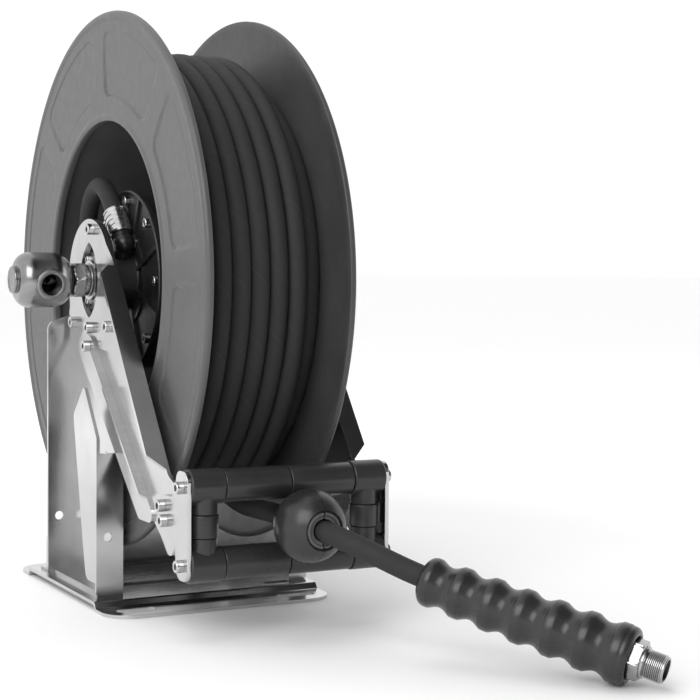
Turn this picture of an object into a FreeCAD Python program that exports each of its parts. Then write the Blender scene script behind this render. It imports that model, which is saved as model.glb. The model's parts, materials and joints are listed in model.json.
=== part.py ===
"""Spring-rewind hose reel on a pedestal: drum, roller guide, swivel inlet, ball stop and hand grip.

Millimetres, +Z up. The origin is on the ground, at the centre of the four slots in the base.
X runs along the drum's axis, and the front, where the hose leaves, is -Y. Sheet parts of the
two sides are drawn once for the right side, in a distance `u` out from the frame's middle
plane, and mirrored for the left.
"""
import FreeCAD, Part
import math
import os
from FreeCAD import Vector

# ---- driving dimensions -------------------------------------------------------------------
SHEET = 3.0                  # thickness of the frame's sheet
AXIS_Z = 282.0               # height of the drum's axis

# base
BASE_X = 106.0               # half length
BASE_Y = 134.0               # half depth
BASE_CORNER = 26.0
DECK_HALF = 91.0             # half depth of the raised deck
DECK_TOP = 8.5
STEP_RUN = 4.0               # horizontal run of the step between deck and foot
SLOT_X = 75.5                # half the spacing of the mounting slots
SLOT_Y = 112.0
SLOT_LENGTH = 36.0
SLOT_WIDTH = 13.0

# frame, in u from its middle plane
FRAME_X = 7.5                # middle plane of posts and guide, off the drum's own middle
POST_IN = 80.5               # inner face of a post's web
POST_FRONT = -73.0
POST_REAR = 63.0
FLANGE_LEFT = 105.0          # reach of the left post's flanges
FLANGE_RIGHT = 98.0
FRONT_FLANGE_TOP = 150.0
FLANGE_STEP_TOP = 133.0       # front flange beside the web, below the arm and its brace
REAR_FLANGE_TOP = 250.0
HEAD_R = 55.0                # round head of post and arm
EYE_ABOVE = 18.5             # almond window in the head, beyond the bearing's bush
EYE_BESIDE = 7.5
SCREW_SHIFT = 3.0            # bearing screws: more above the bush than beside it
ARM_FLANGE = 14.0
FLANGE_HOLE_R = 4.0
TIE_TOP = 46.0

# roller guide
GUIDE_Y = -229.0
GUIDE_TOP_Z = 122.0
GUIDE_BOTTOM_Z = 60.0
CORNER_LENGTH = 29.0
CORNER_R = 14.2
BRANCH_R = 11.2
BRANCH_DROP = 21.5
ROLLER_R = 13.4
SIDE_ROLLER_R = 12.2
AXLE_R = 4.0
SIDE_PIN_R = 3.5
RUNNING = 0.06               # radial clearance of every running fit
END_GAP = 0.4                # side clearance of a turning piece
SOFT_GAP = 0.4               # clearance between plain solids on different bodies

# drum, centred on X = 0
DRUM_HALF = 66.5             # to the outer faces of the rims
DISC_R = 240.0
DISC_SHEET = 4.0
DISC_INSET = 1.0             # plate behind the rim's outer face
RIM_W = 6.0
DISC_EYE_R = 143.0
LIP_W = 7.0
PANEL_COUNT = 8
PANEL_IN_R = 164.0
PANEL_OUT_R = 222.0
PANEL_DEPTH = 1.2
PANEL_GAP = 30.0             # width of the band between two panels
BARREL_R = 156.0
BARREL_WALL = 6.0
WEB_X = 46.0                 # hub web, left face
WEB_T = 4.0
WEB_HOLE_R = 20.0
WEB_HOLES = 6

# hose
HOSE_R = 8.5
HOSE_WALL = 3.5
LAYERS = 3
TURN_PITCH = 16.9
OUTER_TURNS = 6

# hub, spring and shaft
SHAFT_R = 12.5
SPINDLE_R = 9.0
SHAFT_BORE_R = 5.0
SHAFT_END = -44.0            # inner end of the shaft
COVER_X = -41.0              # front face of the spring cover
COVER_T = 4.0
COVER_R = 82.0
BOSS_R = 24.0
BOSS_LENGTH = 22.0
HOUSING_R = 80.0
HOUSING_WALL = 2.0
COVER_SCREWS = 8
COVER_SCREW_PCD = 144.0
RING_T = 3.0                 # ring in the housing that takes the screws
ARBOR_R = 10.0
BUSH_WALL = 3.0
STRIP_T = 1.2                # power spring strip
STRIP_COILS = 6
STRIP_IN_R = 22.0

# swivel
SWIVEL_LEFT = -147.0         # ends of the swivel's body
SWIVEL_RIGHT = -99.5
SWIVEL_R = 24.5
SWIVEL_END_R = 13.6
INLET_X = -121.5
INLET_REACH = 26.0           # from the axis to the face of the inlet's boss
INLET_TILT = 9.0             # inlet below the horizontal, in the stored position
INLET_HOLE_R = 9.3           # G 1/2 minor radius
INLET_DEPTH = 15.0
INLET_BOSS_R = 13.5
PLUG_R = 12.6
PLUG_LENGTH = 3.6
NUT_X = -96.5                # outer face of the hexagon
NUT_WALL = 2.5               # from the shaft to the hexagon's flats
NUT_AF = 2 * (SHAFT_R + NUT_WALL)
NUT_HEX = 10.5
COLLAR_WALL = 1.7
NUT_COLLAR_R = SHAFT_R + COLLAR_WALL

# ratchet
RATCHET_R = 44.0
RATCHET_ROOT_R = 37.0
RATCHET_TEETH = 10
RATCHET_T = 5.0
RATCHET_X = 72.0
PAWL_PIN_R = 5.0
PAWL_PIN_DROP = 82.0         # pawl pin below the drum's axis
PAWL_TIP_GAP = 1.5

# ball stop, grip and end fitting
STOP_R = 29.2
STOP_ALONG = 27.2            # centre of the ball past the route point in the guide
STOP_SPLIT = 0.6
INSERT_R = 14.5
INSERT_LENGTH = 16.0
GRIP_RINGS = 7
GRIP_PITCH = 25.2
GRIP_FIRST_R = 19.0
GRIP_LAST_R = 22.4
GRIP_WAIST = 3.4
GRIP_FIRST = Vector(60.9, -370.6, 60.0)
GRIP_LAST = Vector(145.4, -490.6, 22.9)
FITTING_AF = 27.0
FITTING_HEX = 12.0
FITTING_THREAD_R = 10.5
FITTING_THREAD = 17.0
FITTING_BORE_R = 5.5

# free hose: route points from the winding, through the grip, to the end fitting's tail
HOSE_ROUTE = [(32, -86, 83.5), (26, -138, 86.5), (17, -188, 90.5), (11.3, -238, 91.8),
              (12.3, -290, 90.3), (27, -329, 80.5), (61.2, -371.0, 59.9), (127.4, -465.1, 30.8)]

# fasteners: radius of thread, of head, height of head, across flats of the socket
M6 = (3.0, 5.0, 6.0, 5.0)
M5 = (2.5, 4.25, 5.0, 4.0)
M4 = (2.0, 3.5, 4.0, 3.0)

RIGHT, LEFT = 1, -1
ORIGIN = Vector(0, 0, 0)
X = Vector(1, 0, 0)
Y = Vector(0, 1, 0)
Z = Vector(0, 0, 1)
AXIS = Vector(0, 0, AXIS_Z)


# ---- helpers ------------------------------------------------------------------------------
def save(name, shape):
    """One STEP per sub-part."""
    shape.exportStep("parts/" + name + ".step")
    print(f"{name:22s} solids {len(shape.Solids)}  volume {shape.Volume:11.0f}  valid {shape.isValid()}")


def box(x0, x1, y0, y1, z0, z1):
    return Part.makeBox(x1 - x0, y1 - y0, z1 - z0, Vector(x0, y0, z0))


def rod(start, direction, radius, length):
    return Part.makeCylinder(radius, length, start, direction)


def tube(start, direction, outer, inner, length):
    return rod(start, direction, outer, length).cut(rod(start, direction, inner, length))


def hexagon(start, direction, across_flats, length):
    """Hexagonal prism along direction."""
    direction = Vector(direction).normalize()
    side = direction.cross(Z if abs(direction.z) < 0.9 else X).normalize()
    up = direction.cross(side)
    reach = across_flats / math.sqrt(3)
    corners = []
    for k in range(7):
        angle = math.radians(60 * k)
        corners.append(start + side * (reach * math.cos(angle)) + up * (reach * math.sin(angle)))
    return Part.Face(Part.makePolygon(corners)).extrude(direction * length)


def rounded_wire(corners, lift):
    """Closed outline of (a, b, radius) corners; lift turns a flat point into a Vector."""
    flat = [Vector(a, b, 0) for a, b, radius in corners]
    edges = []
    ends = []
    for k, (a, b, radius) in enumerate(corners):
        here = flat[k]
        back = (flat[k - 1] - here).normalize()
        ahead = (flat[(k + 1) % len(flat)] - here).normalize()
        if radius <= 0:
            ends.append((here, None, here))
            continue
        half = back.getAngle(ahead) / 2
        reach = radius / math.tan(half)
        middle = (back + ahead).normalize()
        centre = here + middle * (radius / math.sin(half))
        ends.append((here + back * reach, centre - middle * radius, here + ahead * reach))
    for k, (start, top, end) in enumerate(ends):
        if top is not None:
            edges.append(Part.Arc(lift(start), lift(top), lift(end)).toShape())
        following = ends[(k + 1) % len(ends)][0]
        if end.distanceToPoint(following) > 1e-6:
            edges.append(Part.LineSegment(lift(end), lift(following)).toShape())
    return Part.Wire(edges)


def plate_x(corners, x0, x1):
    """Plate with its outline in (Y, Z), from x0 to x1."""
    return Part.Face(rounded_wire(corners, lambda p: Vector(x0, p.x, p.y))).extrude(X * (x1 - x0))


def plate_y(corners, y0, y1):
    """Plate with its outline in (X, Z), from y0 to y1."""
    return Part.Face(rounded_wire(corners, lambda p: Vector(p.x, y0, p.y))).extrude(Y * (y1 - y0))


def plate_z(corners, z0, z1):
    """Plate with its outline in (X, Y), from z0 to z1."""
    return Part.Face(rounded_wire(corners, lambda p: Vector(p.x, p.y, z0))).extrude(Z * (z1 - z0))


def turned(corners):
    """Solid of revolution about the drum's axis, from (x, r, corner radius)."""
    wire = rounded_wire(corners, lambda p: Vector(p.x, 0, AXIS_Z + p.y))
    return Part.Face(wire).revolve(AXIS, X, 360)


def around(shape, count, start=0.0):
    """Copies of shape turned about the drum's axis."""
    copies = []
    for k in range(count):
        copy = shape.copy()
        copy.rotate(AXIS, X, start + 360.0 * k / count)
        copies.append(copy)
    return copies


def join(first, others):
    return first.fuse(others).removeSplitter()


def placed(shape, side):
    """Moves a side's piece from u to X, mirrored for the left."""
    piece = shape if side == RIGHT else shape.mirror(ORIGIN, X)
    return piece.translated(X * FRAME_X)


def cap_screw(seat, outward, size, grip):
    """Socket head screw: seat is where the head's underside sits."""
    thread_r, head_r, head_h, socket = size
    head = rod(seat, outward, head_r, head_h)
    head = head.cut(hexagon(seat + outward * (head_h * 0.5), outward, socket, head_h * 0.5))
    return head.fuse(rod(seat - outward * grip, outward, thread_r, grip + 0.5)).removeSplitter()


def eye(x0, x1):
    """Almond window of the head, as a cutter."""
    arc_r = (EYE_HEIGHT ** 2 + EYE_WIDTH ** 2) / (2 * EYE_WIDTH)
    offset = arc_r - EYE_WIDTH
    one = rod(Vector(x0, offset, AXIS_Z), X, arc_r, x1 - x0)
    return one.common(rod(Vector(x0, -offset, AXIS_Z), X, arc_r, x1 - x0))


def holes_x(places, radius, x0, x1):
    return [rod(Vector(x0, y, z), X, radius, x1 - x0) for y, z in places]


# ---- places shared by several pieces --------------------------------------------------------
POST_OUT = POST_IN + SHEET
ARM_OUT = POST_OUT + SHEET
GUIDE_HALF = ARM_OUT         # end faces of the corner blocks, against the end plates
PLATE_OUT = ARM_OUT + 3.5
BRACE_OUT = ARM_OUT + 2.5
RIB_OUT = ARM_OUT + 8.0
HEAD_SCREWS = [(-10, AXIS_Z + 45.5), (36, AXIS_Z - 39), (-7, AXIS_Z - 42.5), (-56, AXIS_Z - 40)]
BRACE_SCREW = (-7, AXIS_Z - 59)
LOBE_SCREWS = [(-190, 103), (-195, 91.5)]
ROLLER_AXES = [(GUIDE_Y, GUIDE_TOP_Z), (GUIDE_Y, GUIDE_BOTTOM_Z)]
ARM_BEND = [(-60, AXIS_Z + 20), (-190.5, 127)]          # bend line of the arm's front flange
BUSH_R = SHAFT_R + BUSH_WALL
EYE_HEIGHT = BUSH_R + EYE_ABOVE      # half height of the almond window in the head
EYE_WIDTH = BUSH_R + EYE_BESIDE      # half width of it
BEARING_SCREWS = [(side * (BUSH_R - SCREW_SHIFT), AXIS_Z + lift * (BUSH_R + SCREW_SHIFT))
                  for side in (-1, 1) for lift in (-1, 1)]


# ---- frame ----------------------------------------------------------------------------------
def base_plate():
    """One sheet pressed to a hat: a foot along the front and the rear, a raised deck between."""
    bend = 1.8
    step = DECK_HALF + STEP_RUN
    slope = 1.2
    under = [(step - slope, 0, bend), (DECK_HALF - slope, DECK_TOP - SHEET, bend)]
    over = [(DECK_HALF, DECK_TOP, bend + 1), (step, SHEET, bend)]
    corners = [(-BASE_Y, 0, 0), (-BASE_Y, SHEET, 0)]
    corners += [(-y, z, r) for y, z, r in reversed(over)] + over
    corners += [(BASE_Y, SHEET, 0), (BASE_Y, 0, 0)]
    corners += under + [(-y, z, r) for y, z, r in reversed(under)]
    sheet = plate_x(corners, -BASE_X, BASE_X)
    outline = [(-BASE_X, -BASE_Y, BASE_CORNER), (BASE_X, -BASE_Y, BASE_CORNER),
               (BASE_X, BASE_Y, BASE_CORNER), (-BASE_X, BASE_Y, BASE_CORNER)]
    sheet = sheet.common(plate_z(outline, 0, DECK_TOP))
    cuts = [slot(x, y, SLOT_LENGTH, SLOT_WIDTH, 0, DECK_TOP)
            for x in (-SLOT_X, SLOT_X) for y in (-SLOT_Y, SLOT_Y)]
    cuts.append(slot(SLOT_X - 2, 14 - DECK_HALF, 28, 9, 0, DECK_TOP))
    return sheet.cut(cuts)


def slot(x, y, length, width, z0, z1):
    """Round-ended slot along X, as a cutter."""
    half = (length - width) / 2
    body = box(x - half, x + half, y - width / 2, y + width / 2, z0, z1)
    ends = [rod(Vector(x + s * half, y, z0), Z, width / 2, z1 - z0) for s in (-1, 1)]
    return body.fuse(ends).removeSplitter()


def rear_tie_panel():
    """Low upright panel behind the posts, with a foot on the deck."""
    left, right = FRAME_X - FLANGE_LEFT, BASE_X - 2
    upright = plate_y([(left, DECK_TOP, 0), (right, DECK_TOP, 0), (right, TIE_TOP, 8), (left, TIE_TOP, 8)],
                      POST_REAR, POST_REAR + SHEET)
    foot = box(left, right, POST_REAR, POST_REAR + 20, DECK_TOP, DECK_TOP + SHEET)
    return join(upright, [foot])


def deck_cross_plate():
    """Flat plate on the deck between the posts."""
    half = POST_IN - 0.5
    return box(FRAME_X - half, FRAME_X + half, -30, 45, DECK_TOP, DECK_TOP + 2)


def post(flange_reach, side):
    """Folded sheet post: web with a round head, rear flange, front flange with a gusset lip."""
    shoulder = REAR_FLANGE_TOP + 3
    web = plate_x([(POST_FRONT, DECK_TOP, 0), (POST_REAR, DECK_TOP, 0), (POST_REAR, shoulder, 10),
                   (HEAD_R * 0.93, AXIS_Z - 8, 6), (0, AXIS_Z, 0), (-HEAD_R * 0.96, AXIS_Z - 8, 6),
                   (POST_FRONT, FRONT_FLANGE_TOP, 6)], POST_IN, POST_OUT)
    web = join(web, [rod(Vector(POST_IN, 0, AXIS_Z), X, HEAD_R, SHEET)])
    rear = plate_y([(POST_IN, DECK_TOP, 0), (flange_reach, DECK_TOP, 3),
                    (flange_reach, REAR_FLANGE_TOP - 9, 8), (POST_IN, REAR_FLANGE_TOP, 0)],
                   POST_REAR - SHEET, POST_REAR)
    front = plate_y([(POST_IN, DECK_TOP, 0), (flange_reach, DECK_TOP, 3),
                     (flange_reach, FRONT_FLANGE_TOP, 6), (RIB_OUT + 1, FLANGE_STEP_TOP, 3),
                     (POST_IN, FLANGE_STEP_TOP, 0)], POST_FRONT, POST_FRONT + SHEET)
    lip = plate_x([(POST_FRONT, 20, 2), (-46, 20, 9), (-38, 48, 20), (-12, 162, 6), (-40, 190, 4),
                   (POST_FRONT, FRONT_FLANGE_TOP - 4, 0)], flange_reach - SHEET, flange_reach)
    floor = box(POST_IN, flange_reach - SHEET - 1, POST_FRONT, POST_REAR, DECK_TOP, DECK_TOP + SHEET)
    folded = join(web, [rear, front, lip, floor])
    middle = (POST_OUT + flange_reach) / 2
    cuts = [eye(POST_IN, POST_OUT)]
    cuts += [rod(Vector(middle, POST_REAR, 61), -Y, FLANGE_HOLE_R, SHEET),
             rod(Vector(middle, POST_FRONT, 60), Y, FLANGE_HOLE_R, SHEET)]
    cuts += holes_x(HEAD_SCREWS, M6[0], POST_IN, POST_OUT)
    return placed(folded.cut(cuts), side)


def arm(side):
    """Sloping sheet arm: head clamped on the post's head, web, folded front flange, lower tab."""
    (top_y, top_z), (low_y, low_z) = ARM_BEND
    along = Vector(0, low_y - top_y, low_z - top_z).normalize()
    ahead = Vector(0, along.z, -along.y)
    web = plate_x([(HEAD_R * 0.98, AXIS_Z - 10, 0), (50, AXIS_Z - 56, 14), (-60, 150, 30), (-176, 76, 10),
                   (-197, 58, 9), (GUIDE_Y + 16, 84, 4), (GUIDE_Y + 14, 118, 5), (low_y, low_z, 16),
                   (top_y, top_z, 8), (-HEAD_R * 0.72, AXIS_Z + HEAD_R * 0.66, 0), (0, AXIS_Z, 0)],
                  POST_OUT, ARM_OUT)
    web = join(web, [rod(Vector(POST_OUT, 0, AXIS_Z), X, HEAD_R, SHEET)])
    start = Vector(POST_OUT, top_y, top_z) + along * 8
    length = Vector(0, low_y - top_y, low_z - top_z).Length - 14
    corner = start + along * length
    lift = [start, start + X * (ARM_FLANGE + SHEET - 8), start + X * (ARM_FLANGE + SHEET) + along * 8,
            corner + X * (ARM_FLANGE + SHEET) - along * 14, corner + X * SHEET, corner]
    flange = Part.Face(Part.makePolygon(lift + [start])).extrude(ahead * -SHEET)
    cuts = [eye(POST_OUT, ARM_OUT)]
    cuts += holes_x(HEAD_SCREWS + [BRACE_SCREW] + LOBE_SCREWS, M6[0], POST_OUT, ARM_OUT)
    return placed(join(web, [flange]).cut(cuts), side)


def arm_brace(side):
    """Strut on the arm's outer face, with a small outward flange along its front edge."""
    front = [(-13, AXIS_Z - 51), (-160, 95)]
    rear = [(26, AXIS_Z - 60), (-132, 84)]
    web = plate_x([(8, AXIS_Z - 46, 6), rear[0] + (7,), rear[1] + (8,), (-164, 84, 6), front[1] + (6,),
                   front[0] + (12,)], ARM_OUT, BRACE_OUT)
    along = Vector(0, front[1][0] - front[0][0], front[1][1] - front[0][1])
    length = along.Length - 24
    along.normalize()
    inward = Vector(0, -along.z, along.y)
    if inward.y < 0:
        inward = inward * -1
    start = Vector(ARM_OUT, front[0][0], front[0][1]) + along * 12
    out = X * (RIB_OUT - ARM_OUT)
    rib = Part.Face(Part.makePolygon([start, start + out + along * 6, start + out + along * (length - 6),
                                      start + along * length, start])).extrude(inward * (BRACE_OUT - ARM_OUT))
    return placed(join(web, [rib]).cut(holes_x([BRACE_SCREW], M6[0], ARM_OUT, BRACE_OUT)), side)


def end_plate(side):
    """Plate that joins the guide's two corner blocks to the arm's lower tab."""
    half = 11.0
    bar = plate_x([(GUIDE_Y - half, GUIDE_BOTTOM_Z - 12, 9), (GUIDE_Y + half, GUIDE_BOTTOM_Z - 12, 9),
                   (GUIDE_Y + half + 5, 76, 12), (-197, 80, 8), (-182, 96, 8), (-184, 112, 9),
                   (GUIDE_Y + half + 6, 112, 12), (GUIDE_Y + half, GUIDE_TOP_Z + 13, 9),
                   (GUIDE_Y - half, GUIDE_TOP_Z + 13, 9)], ARM_OUT, PLATE_OUT)
    return placed(bar.cut(holes_x(ROLLER_AXES + LOBE_SCREWS, M6[0], ARM_OUT, PLATE_OUT)), side)


# ---- roller guide -----------------------------------------------------------------------------
def corner_block(side, upper):
    """Moulded corner: a barrel on the horizontal axle and a branch for the side roller's pin."""
    z = GUIDE_TOP_Z if upper else GUIDE_BOTTOM_Z
    toward = Z * (-1 if upper else 1)
    inner = GUIDE_HALF - CORNER_LENGTH
    barrel = rod(Vector(inner, GUIDE_Y, z), X, CORNER_R, CORNER_LENGTH)
    edges = [edge for edge in barrel.Edges if edge.Length > CORNER_R * 5]
    barrel = barrel.makeFillet(1.5, edges)
    middle = Vector(GUIDE_HALF - CORNER_LENGTH / 2, GUIDE_Y, z)
    block = join(barrel, [rod(middle, toward, BRANCH_R, BRANCH_DROP)])
    bore = rod(Vector(inner, GUIDE_Y, z), X, AXLE_R, CORNER_LENGTH)
    pin_bore = rod(middle + toward * (BRANCH_DROP - PIN_SEAT), toward, SIDE_PIN_R, PIN_SEAT)
    return placed(block.cut([bore, pin_bore]), side)


PIN_SEAT = 9.0               # depth of a side pin in its corner block


def roller_axle(z):
    """Rod through both horizontal sleeves and their corner blocks."""
    return rod(Vector(FRAME_X - GUIDE_HALF, GUIDE_Y, z), X, AXLE_R, 2 * GUIDE_HALF)


def side_roller_pins():
    low = GUIDE_BOTTOM_Z + BRANCH_DROP - PIN_SEAT
    high = GUIDE_TOP_Z - BRANCH_DROP + PIN_SEAT
    pins = []
    for side in (LEFT, RIGHT):
        u = GUIDE_HALF - CORNER_LENGTH / 2
        pins.append(placed(rod(Vector(u, GUIDE_Y, low), Z, SIDE_PIN_R, high - low), side))
    return Part.makeCompound(pins)


def horizontal_roller(side, z):
    """Sleeve on half of a horizontal axle."""
    length = GUIDE_HALF - CORNER_LENGTH - 2 * END_GAP
    sleeve = tube(Vector(END_GAP, GUIDE_Y, z), X, ROLLER_R, AXLE_R + RUNNING, length)
    rims = [edge for edge in sleeve.Edges if edge.Length > ROLLER_R * 5]
    return placed(sleeve.makeFillet(0.8, rims), side)


def side_roller(side):
    """Upright sleeve between two corner blocks."""
    low = GUIDE_BOTTOM_Z + BRANCH_DROP + END_GAP
    high = GUIDE_TOP_Z - BRANCH_DROP - END_GAP
    u = GUIDE_HALF - CORNER_LENGTH / 2
    sleeve = tube(Vector(u, GUIDE_Y, low), Z, SIDE_ROLLER_R, SIDE_PIN_R + RUNNING, high - low)
    rims = [edge for edge in sleeve.Edges if edge.Length > SIDE_ROLLER_R * 5]
    return placed(sleeve.makeFillet(0.8, rims), side)


# ---- bearings and fasteners ---------------------------------------------------------------------
def left_bearing_housing():
    """Flange behind the left post's window, with a boss that holds the bush."""
    u0 = POST_IN - SHEET
    flange = plate_x([(-44, AXIS_Z - 25, 10), (44, AXIS_Z - 25, 10), (44, AXIS_Z + 25, 10),
                      (-44, AXIS_Z + 25, 10)], u0, POST_IN)
    boss = rod(Vector(u0, 0, AXIS_Z), X, BUSH_R + 2.2, ARM_OUT - u0)
    housing = join(flange, [boss]).cut(rod(Vector(u0, 0, AXIS_Z), X, BUSH_R, ARM_OUT - u0))
    return placed(housing.cut(holes_x(BEARING_SCREWS, M4[0], u0, POST_IN)), LEFT)


def left_bearing_bush():
    """Plain bush that the drum's hollow shaft turns in."""
    return placed(tube(Vector(POST_IN - SHEET, 0, AXIS_Z), X, BUSH_R, SHAFT_R + RUNNING,
                       ARM_OUT - POST_IN + SHEET), LEFT)


def arbor_flange():
    """Flange on the right post that keeps the spring's arbor from turning."""
    flange = plate_x([(-44, AXIS_Z - 25, 10), (44, AXIS_Z - 25, 10), (44, AXIS_Z + 25, 10),
                      (-44, AXIS_Z + 25, 10)], POST_IN - SHEET, POST_IN)
    boss = rod(Vector(POST_IN - SHEET, 0, AXIS_Z), X, ARBOR_R + 6, ARM_OUT + 2 - POST_IN + SHEET)
    bore = rod(Vector(POST_IN - SHEET, 0, AXIS_Z), X, ARBOR_R, ARM_OUT + 2 - POST_IN + SHEET)
    holes = holes_x(BEARING_SCREWS, M4[0], POST_IN - SHEET, POST_IN)
    return placed(join(flange, [boss]).cut([bore] + holes), RIGHT)


def spring_arbor():
    """Fixed shaft from the right post into the spring, slotted for the strip's inner end."""
    start = SHAFT_END + 12
    end = FRAME_X + ARM_OUT + 2
    arbor = rod(Vector(start, 0, AXIS_Z), X, ARBOR_R, end - start)
    return arbor.cut(box(start, 20, -1, 1, AXIS_Z, AXIS_Z + ARBOR_R))


def hub_bush():
    """Plain bush between the fixed arbor and the turning hub web."""
    return tube(Vector(WEB_X - 3, 0, AXIS_Z), X, ARBOR_R + BUSH_WALL, ARBOR_R + RUNNING,
                RATCHET_X - WEB_X + 3)


def head_screws():
    """Screws that clamp each arm's head to its post."""
    screws = []
    for side in (LEFT, RIGHT):
        for y, z in HEAD_SCREWS:
            screws.append(placed(cap_screw(Vector(ARM_OUT, y, z), X, M6, ARM_OUT - POST_IN), side))
        screws.append(placed(cap_screw(Vector(BRACE_OUT, *BRACE_SCREW), X, M6, BRACE_OUT - POST_OUT), side))
    return Part.makeCompound(screws)


def bearing_screws():
    screws = []
    for side in (LEFT, RIGHT):
        for y, z in BEARING_SCREWS:
            screws.append(placed(cap_screw(Vector(POST_IN, y, z), X, M4, SHEET), side))
    return Part.makeCompound(screws)


def guide_screws():
    """Screws through the end plates: into the axles' ends, and through the arms' tabs."""
    screws = []
    for side in (LEFT, RIGHT):
        for y, z in ROLLER_AXES:
            screws.append(placed(cap_screw(Vector(PLATE_OUT, y, z), X, M6, PLATE_OUT - ARM_OUT), side))
        for y, z in LOBE_SCREWS:
            screws.append(placed(cap_screw(Vector(PLATE_OUT, y, z), X, M6, PLATE_OUT - POST_OUT), side))
    return Part.makeCompound(screws)


# ---- swivel -----------------------------------------------------------------------------------
def swivel_nut():
    """Hexagon with a round collar on the drum's shaft, outside the left bearing."""
    end = NUT_X + NUT_HEX
    nut = hexagon(Vector(NUT_X, 0, AXIS_Z), X, NUT_AF, NUT_HEX)
    flat, corner = NUT_AF / 2 + 0.8, NUT_AF / 2 + 2.6
    chamfer = turned([(NUT_X, 0, 0), (end, 0, 0), (end, flat, 0), (end - 1.4, corner, 0),
                      (NUT_X + 1.4, corner, 0), (NUT_X, flat, 0)])
    collar = rod(Vector(end, 0, AXIS_Z), X, NUT_COLLAR_R, JOURNAL_X - end)
    return join(nut.common(chamfer), [collar]).cut(rod(Vector(NUT_X, 0, AXIS_Z), X, SHAFT_R, JOURNAL_X - NUT_X))


JOURNAL_X = FRAME_X - ARM_OUT - END_GAP


def swivel_body():
    """Domed body with a threaded inlet at the front, turning on the shaft's spindle."""
    left, right = SWIVEL_LEFT, SWIVEL_RIGHT
    body = turned([(left, 0, 0), (left, SWIVEL_END_R, 0.8), (left + 9, SWIVEL_R, 9),
                   (right - 13, SWIVEL_R, 14), (right, SWIVEL_END_R + 1.5, 1.5), (right, 0, 0)])
    boss = rod(inlet_point(0), INLET_OUT, INLET_BOSS_R, INLET_REACH)
    body = join(body, [boss])
    inlet = rod(inlet_point(INLET_REACH), INLET_OUT * -1, INLET_HOLE_R, INLET_DEPTH)
    passage = rod(inlet_point(0), INLET_OUT, SHAFT_BORE_R, INLET_REACH - INLET_DEPTH + 1)
    bore = rod(Vector(left, 0, AXIS_Z), X, SPINDLE_R + RUNNING, right - left)
    return body.cut([inlet, passage, bore])


INLET_OUT = Vector(0, -math.cos(math.radians(INLET_TILT)), -math.sin(math.radians(INLET_TILT)))


def inlet_point(reach):
    """Point on the inlet's axis, at a distance from the drum's axis."""
    return Vector(INLET_X, 0, AXIS_Z) + INLET_OUT * reach


def swivel_cap():
    """Round plug with a groove that closes the swivel's outer end."""
    end, r = SWIVEL_LEFT, PLUG_R
    return turned([(end, 0, 0), (end, r, 0), (end - 1.2, r, 0.3), (end - 1.2, r - 1.2, 0), (end - 2.0, r - 1.2, 0),
                   (end - 2.0, r - 0.4, 0.2), (end - PLUG_LENGTH, r - 0.8, 0.8), (end - PLUG_LENGTH, 0, 0)])


def swivel_seal():
    """Ring between the swivel's body and the hexagon."""
    length = NUT_X - SWIVEL_RIGHT - END_GAP
    return tube(Vector(SWIVEL_RIGHT, 0, AXIS_Z), X, SHAFT_R, SPINDLE_R + RUNNING, length)


# ---- drum ------------------------------------------------------------------------------------
def drum_shaft():
    """Hollow shaft: spindle in the swivel, journal in the left bearing, seat in the spring cover."""
    spindle_start = SWIVEL_LEFT + 1
    spindle = rod(Vector(spindle_start, 0, AXIS_Z), X, SPINDLE_R, NUT_X - spindle_start + 1)
    journal = rod(Vector(NUT_X, 0, AXIS_Z), X, SHAFT_R, SHAFT_END - NUT_X)
    shaft = join(spindle, [journal])
    outlet_x = COVER_X - BOSS_LENGTH / 2
    bore = rod(Vector(spindle_start + 6, 0, AXIS_Z), X, SHAFT_BORE_R, outlet_x - spindle_start - 2)
    port = rod(Vector(outlet_x, 0, AXIS_Z), Z, SHAFT_BORE_R, SHAFT_R + 1)
    ring = rod(Vector(INLET_X, -SPINDLE_R - 1, AXIS_Z), Y, SHAFT_BORE_R - 1, 2 * SPINDLE_R + 2)
    return shaft.cut([bore, port, ring])


def disc(side):
    """Moulded side disc: rolled rim, flat flange with shallow panels, rounded inner lip."""
    face = DRUM_HALF
    plate = face - DISC_INSET
    back = plate - DISC_SHEET
    r = DISC_R
    shape = turned([(face - RIM_W, r - 7, 1), (face - RIM_W, r, 2.5), (face, r, 2.5), (face, r - 6, 2),
                    (plate, r - 8, 1), (plate, DISC_EYE_R + LIP_W + 3, 1), (face, DISC_EYE_R + LIP_W, 2),
                    (face, DISC_EYE_R, 2.5), (back - 3, DISC_EYE_R, 2), (back - 3, DISC_EYE_R + 5, 1),
                    (back, DISC_EYE_R + LIP_W - 1.5, 0.8), (back, r - 9, 1)])
    pocket = tube(Vector(plate - PANEL_DEPTH, 0, AXIS_Z), X, PANEL_OUT_R, PANEL_IN_R, PANEL_DEPTH + 1)
    bands = around(box(plate - 9, plate + 9, -PANEL_GAP / 2, PANEL_GAP / 2, AXIS_Z, AXIS_Z + DISC_R),
                   PANEL_COUNT, 86.0)
    pocket = pocket.cut(bands)
    shape = shape.cut(pocket)
    return shape if side == RIGHT else shape.mirror(ORIGIN, X)


def drum_barrel():
    """Drum's inner wall between the two discs."""
    half = DRUM_HALF - DISC_INSET - DISC_SHEET
    return tube(Vector(-half, 0, AXIS_Z), X, BARREL_R, BARREL_R - BARREL_WALL, 2 * half)


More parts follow.
